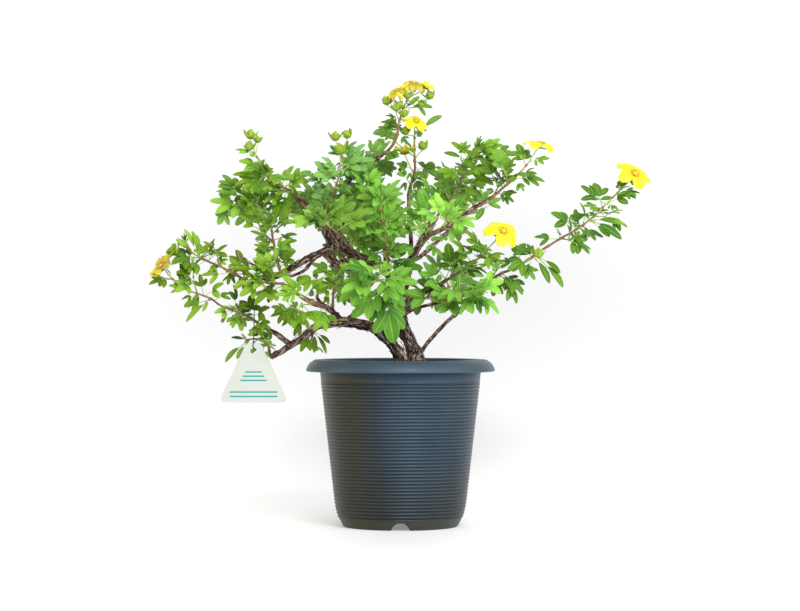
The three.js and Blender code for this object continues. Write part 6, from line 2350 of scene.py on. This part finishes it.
def add_bloom(mass, number, bloom):
    """One flower or bud of a mass, with its stalk."""
    seed = mass.seed * 10 + number
    root = mass.curve.point(min(bloom["at"], TUFT_AT))
    if "face" in bloom:
        bloom["radius"] *= bloom.get("swell", 1)
        back = unit(np.array(bloom["face"], float)) * -FLOWER_BACK * bloom["radius"]
        add_flower(bloom, petals, stamens, calyx, seed)
    else:
        bloom["radius"] *= BUD_SWELL
        back = -UP * BUD_BACK * bloom["radius"]
        add_bud(bloom, calyx, seed)
    line = bowed(root, np.array(bloom["centre"], float) + back, STALK_BOW, seed)
    stalks.add(line, np.linspace(*STALK_RADII, len(line)), np.linspace(*STALK_RIPENESS, len(line)))


blooming = [mass for mass in masses if mass.blooms]
for mass in blooming:
    for number, bloom in enumerate(mass.blooms + MORE_BLOOMS.get(mass.stem, [])):
        add_bloom(mass, number, {**bloom, **LOOKS.get((mass.stem, number), {})})
names = [mass.name for mass in blooming]
for name, parts, finish in (("petals", petals, petal_skin), ("stamens", stamens, stamen_skin),
                            ("buds_and_sepals", calyx, calyx_skin)):
    seat(face_outwards(parts.piece(name, finish)), "foliage", *names)
seat(stalks.sweep("flower_stalks", twig_skin), "foliage", *names)

# %% [markdown]
# A pale translucent tag hangs from the long left bough by a dark thread. It is a thin plastic sheet
# with rounded corners and a punched hole, so a filled curve with a fine bevel gives its true edge.
# Its face is left blank but for a few ruled lines.

# %% Hanging tag
TAG_HOLE = np.array([-123.5, -25, 149.5])
TAG_TOP_WIDTH = 12
TAG_FOOT_WIDTH = 57
TAG_HEIGHT = 50
TAG_CORNER = 5
TAG_THICKNESS = 1.0
TAG_HOLE_RADIUS = 2.7
TAG_HOLE_DROP = 6.4
TAG_SLOPE = 1.5
CORNER_STEPS = 6


def rounded(corners):
    """An outline of quadratic arcs, each from an entry by a corner to an exit."""
    outline = []
    for corner in corners:
        enter, middle, leave = (np.array(point) for point in corner)
        for t in np.linspace(0, 1, CORNER_STEPS + 1):
            outline.append(tuple((1 - t) ** 2 * enter + 2 * t * (1 - t) * middle + t * t * leave))
    return outline


def stand_up(piece, lift):
    """Turns a flat plate upright, facing the front, and hangs it by its hole."""
    piece.data.transform(Matrix.Rotation(math.pi / 2, 4, "X"))
    piece.data.transform(Matrix.Translation(Vector(TAG_HOLE + (0, lift, 0)) * MM))


half, neck, top, foot = TAG_FOOT_WIDTH / 2, TAG_TOP_WIDTH / 2, TAG_HOLE_DROP, TAG_HOLE_DROP - TAG_HEIGHT
right_corners = [
    ((half - TAG_CORNER, foot), (half, foot), (half - TAG_SLOPE, foot + TAG_CORNER)),
    ((neck + TAG_SLOPE, top - 2 * TAG_SLOPE), (neck, top), (neck - 2 * TAG_SLOPE, top)),
]
left_corners = [[(-x, y) for x, y in corner[::-1]] for corner in right_corners[::-1]]
tag_plastic = Finish("frosted_plastic", "#b3b4ab", "#acaea3", 30, grain=1200, relief=0.08, gloss=(0.35, 0.5))
tag_outlines = [rounded(right_corners + left_corners), circle(TAG_HOLE_RADIUS, 28)]
tag = flat_plate("blank_tag", tag_outlines, TAG_THICKNESS, 0.15, tag_plastic)
stand_up(tag, 0)
seat(face_outwards(tag), "tag", "hang_tag")

# %% Ruled lines
RULED_LINES = ((-38.5, 40), (-34.8, 40), (-18, 14), (-21.5, 18), (-25, 22))
LINE_WIDTH = 1.2
LINE_THICKNESS = 0.18
BOX_FACES = [(3, 2, 1, 0), (4, 5, 6, 7), (0, 1, 5, 4), (1, 2, 6, 5), (2, 3, 7, 6), (3, 0, 4, 7)]
teal_ink = Finish("teal_ink", "#04807c", "#0a8a85", 200, grain=900, relief=0.05, gloss=(0.4, 0.55))
lines = MeshParts()
for height, length in RULED_LINES:
    x, y = length / 2, LINE_WIDTH / 2
    outline = [(-x, height - y), (x, height - y), (x, height + y), (-x, height + y)]
    lines.add([(*corner, z) for z in (0, LINE_THICKNESS) for corner in outline], BOX_FACES)
ruled_lines = lines.piece("ruled_lines", teal_ink, smooth=False)
stand_up(ruled_lines, -TAG_THICKNESS / 2)
seat(ruled_lines, "tag", "hang_tag")

# %% [markdown]
# The thread is tied round the bough, runs down and loops through the tag's hole. It is one thin
# tube along a smooth path. Two small knots close the loops.

# %% Thread
THREAD_RADIUS = 0.42
THREAD_AGE = 0.5
thread_skin = Finish("dark_thread", "#22242a", "#33353c", 900, grain=3000, relief=0.6, gloss=(0.7, 0.9))
bough = next(limb for limb in LIMBS if limb["name"] == "left_long_bough")
bough_route = routes["left_long_bough"]
share = next(s for s in np.arange(0, 1, 0.01) if bough_route.point(s)[0] <= TAG_HOLE[0])
over, tangent = bough_route.point(share), bough_route.tangent(share)
loop_radius = limb_radius(bough, share) * 1.08 + 0.9
down = unit(-UP + tangent * (tangent @ UP))
across = np.cross(tangent, down)
lowest = over + down * loop_radius
eye_top = TAG_HOLE + (0, 0, TAG_HOLE_RADIUS + 4.5)
eye_centre = TAG_HOLE + (0, 0, TAG_HOLE_RADIUS + 1.6)
thread = Lines()
for shift in (-0.5, 0.45):
    turns = np.linspace(0, FULL_TURN, 26)[:, None]
    loop = over + tangent * shift + loop_radius * (np.cos(turns) * down + np.sin(turns) * across)
    thread.add(loop, THREAD_RADIUS, THREAD_AGE)
thread.add(bowed(lowest, eye_top, 0.25, 3), THREAD_RADIUS, THREAD_AGE)
turns = np.linspace(0, FULL_TURN, 24)[:, None]
eye = eye_centre + np.hstack([0.3 * np.sin(turns), 1.6 * np.sin(turns), 2.9 * np.cos(turns)])
thread.add(eye, THREAD_RADIUS * 0.9, THREAD_AGE)
for centre in (lowest, eye_top):
    turns = np.linspace(0, 2 * FULL_TURN, 20)[:, None]
    knot = centre + 0.5 * np.hstack([np.cos(turns), np.sin(turns), (turns - FULL_TURN) * 0.18])
    thread.add(knot, THREAD_RADIUS, THREAD_AGE)
seat(thread.sweep("tag_thread_tube", thread_skin), "thread", "tag_thread")
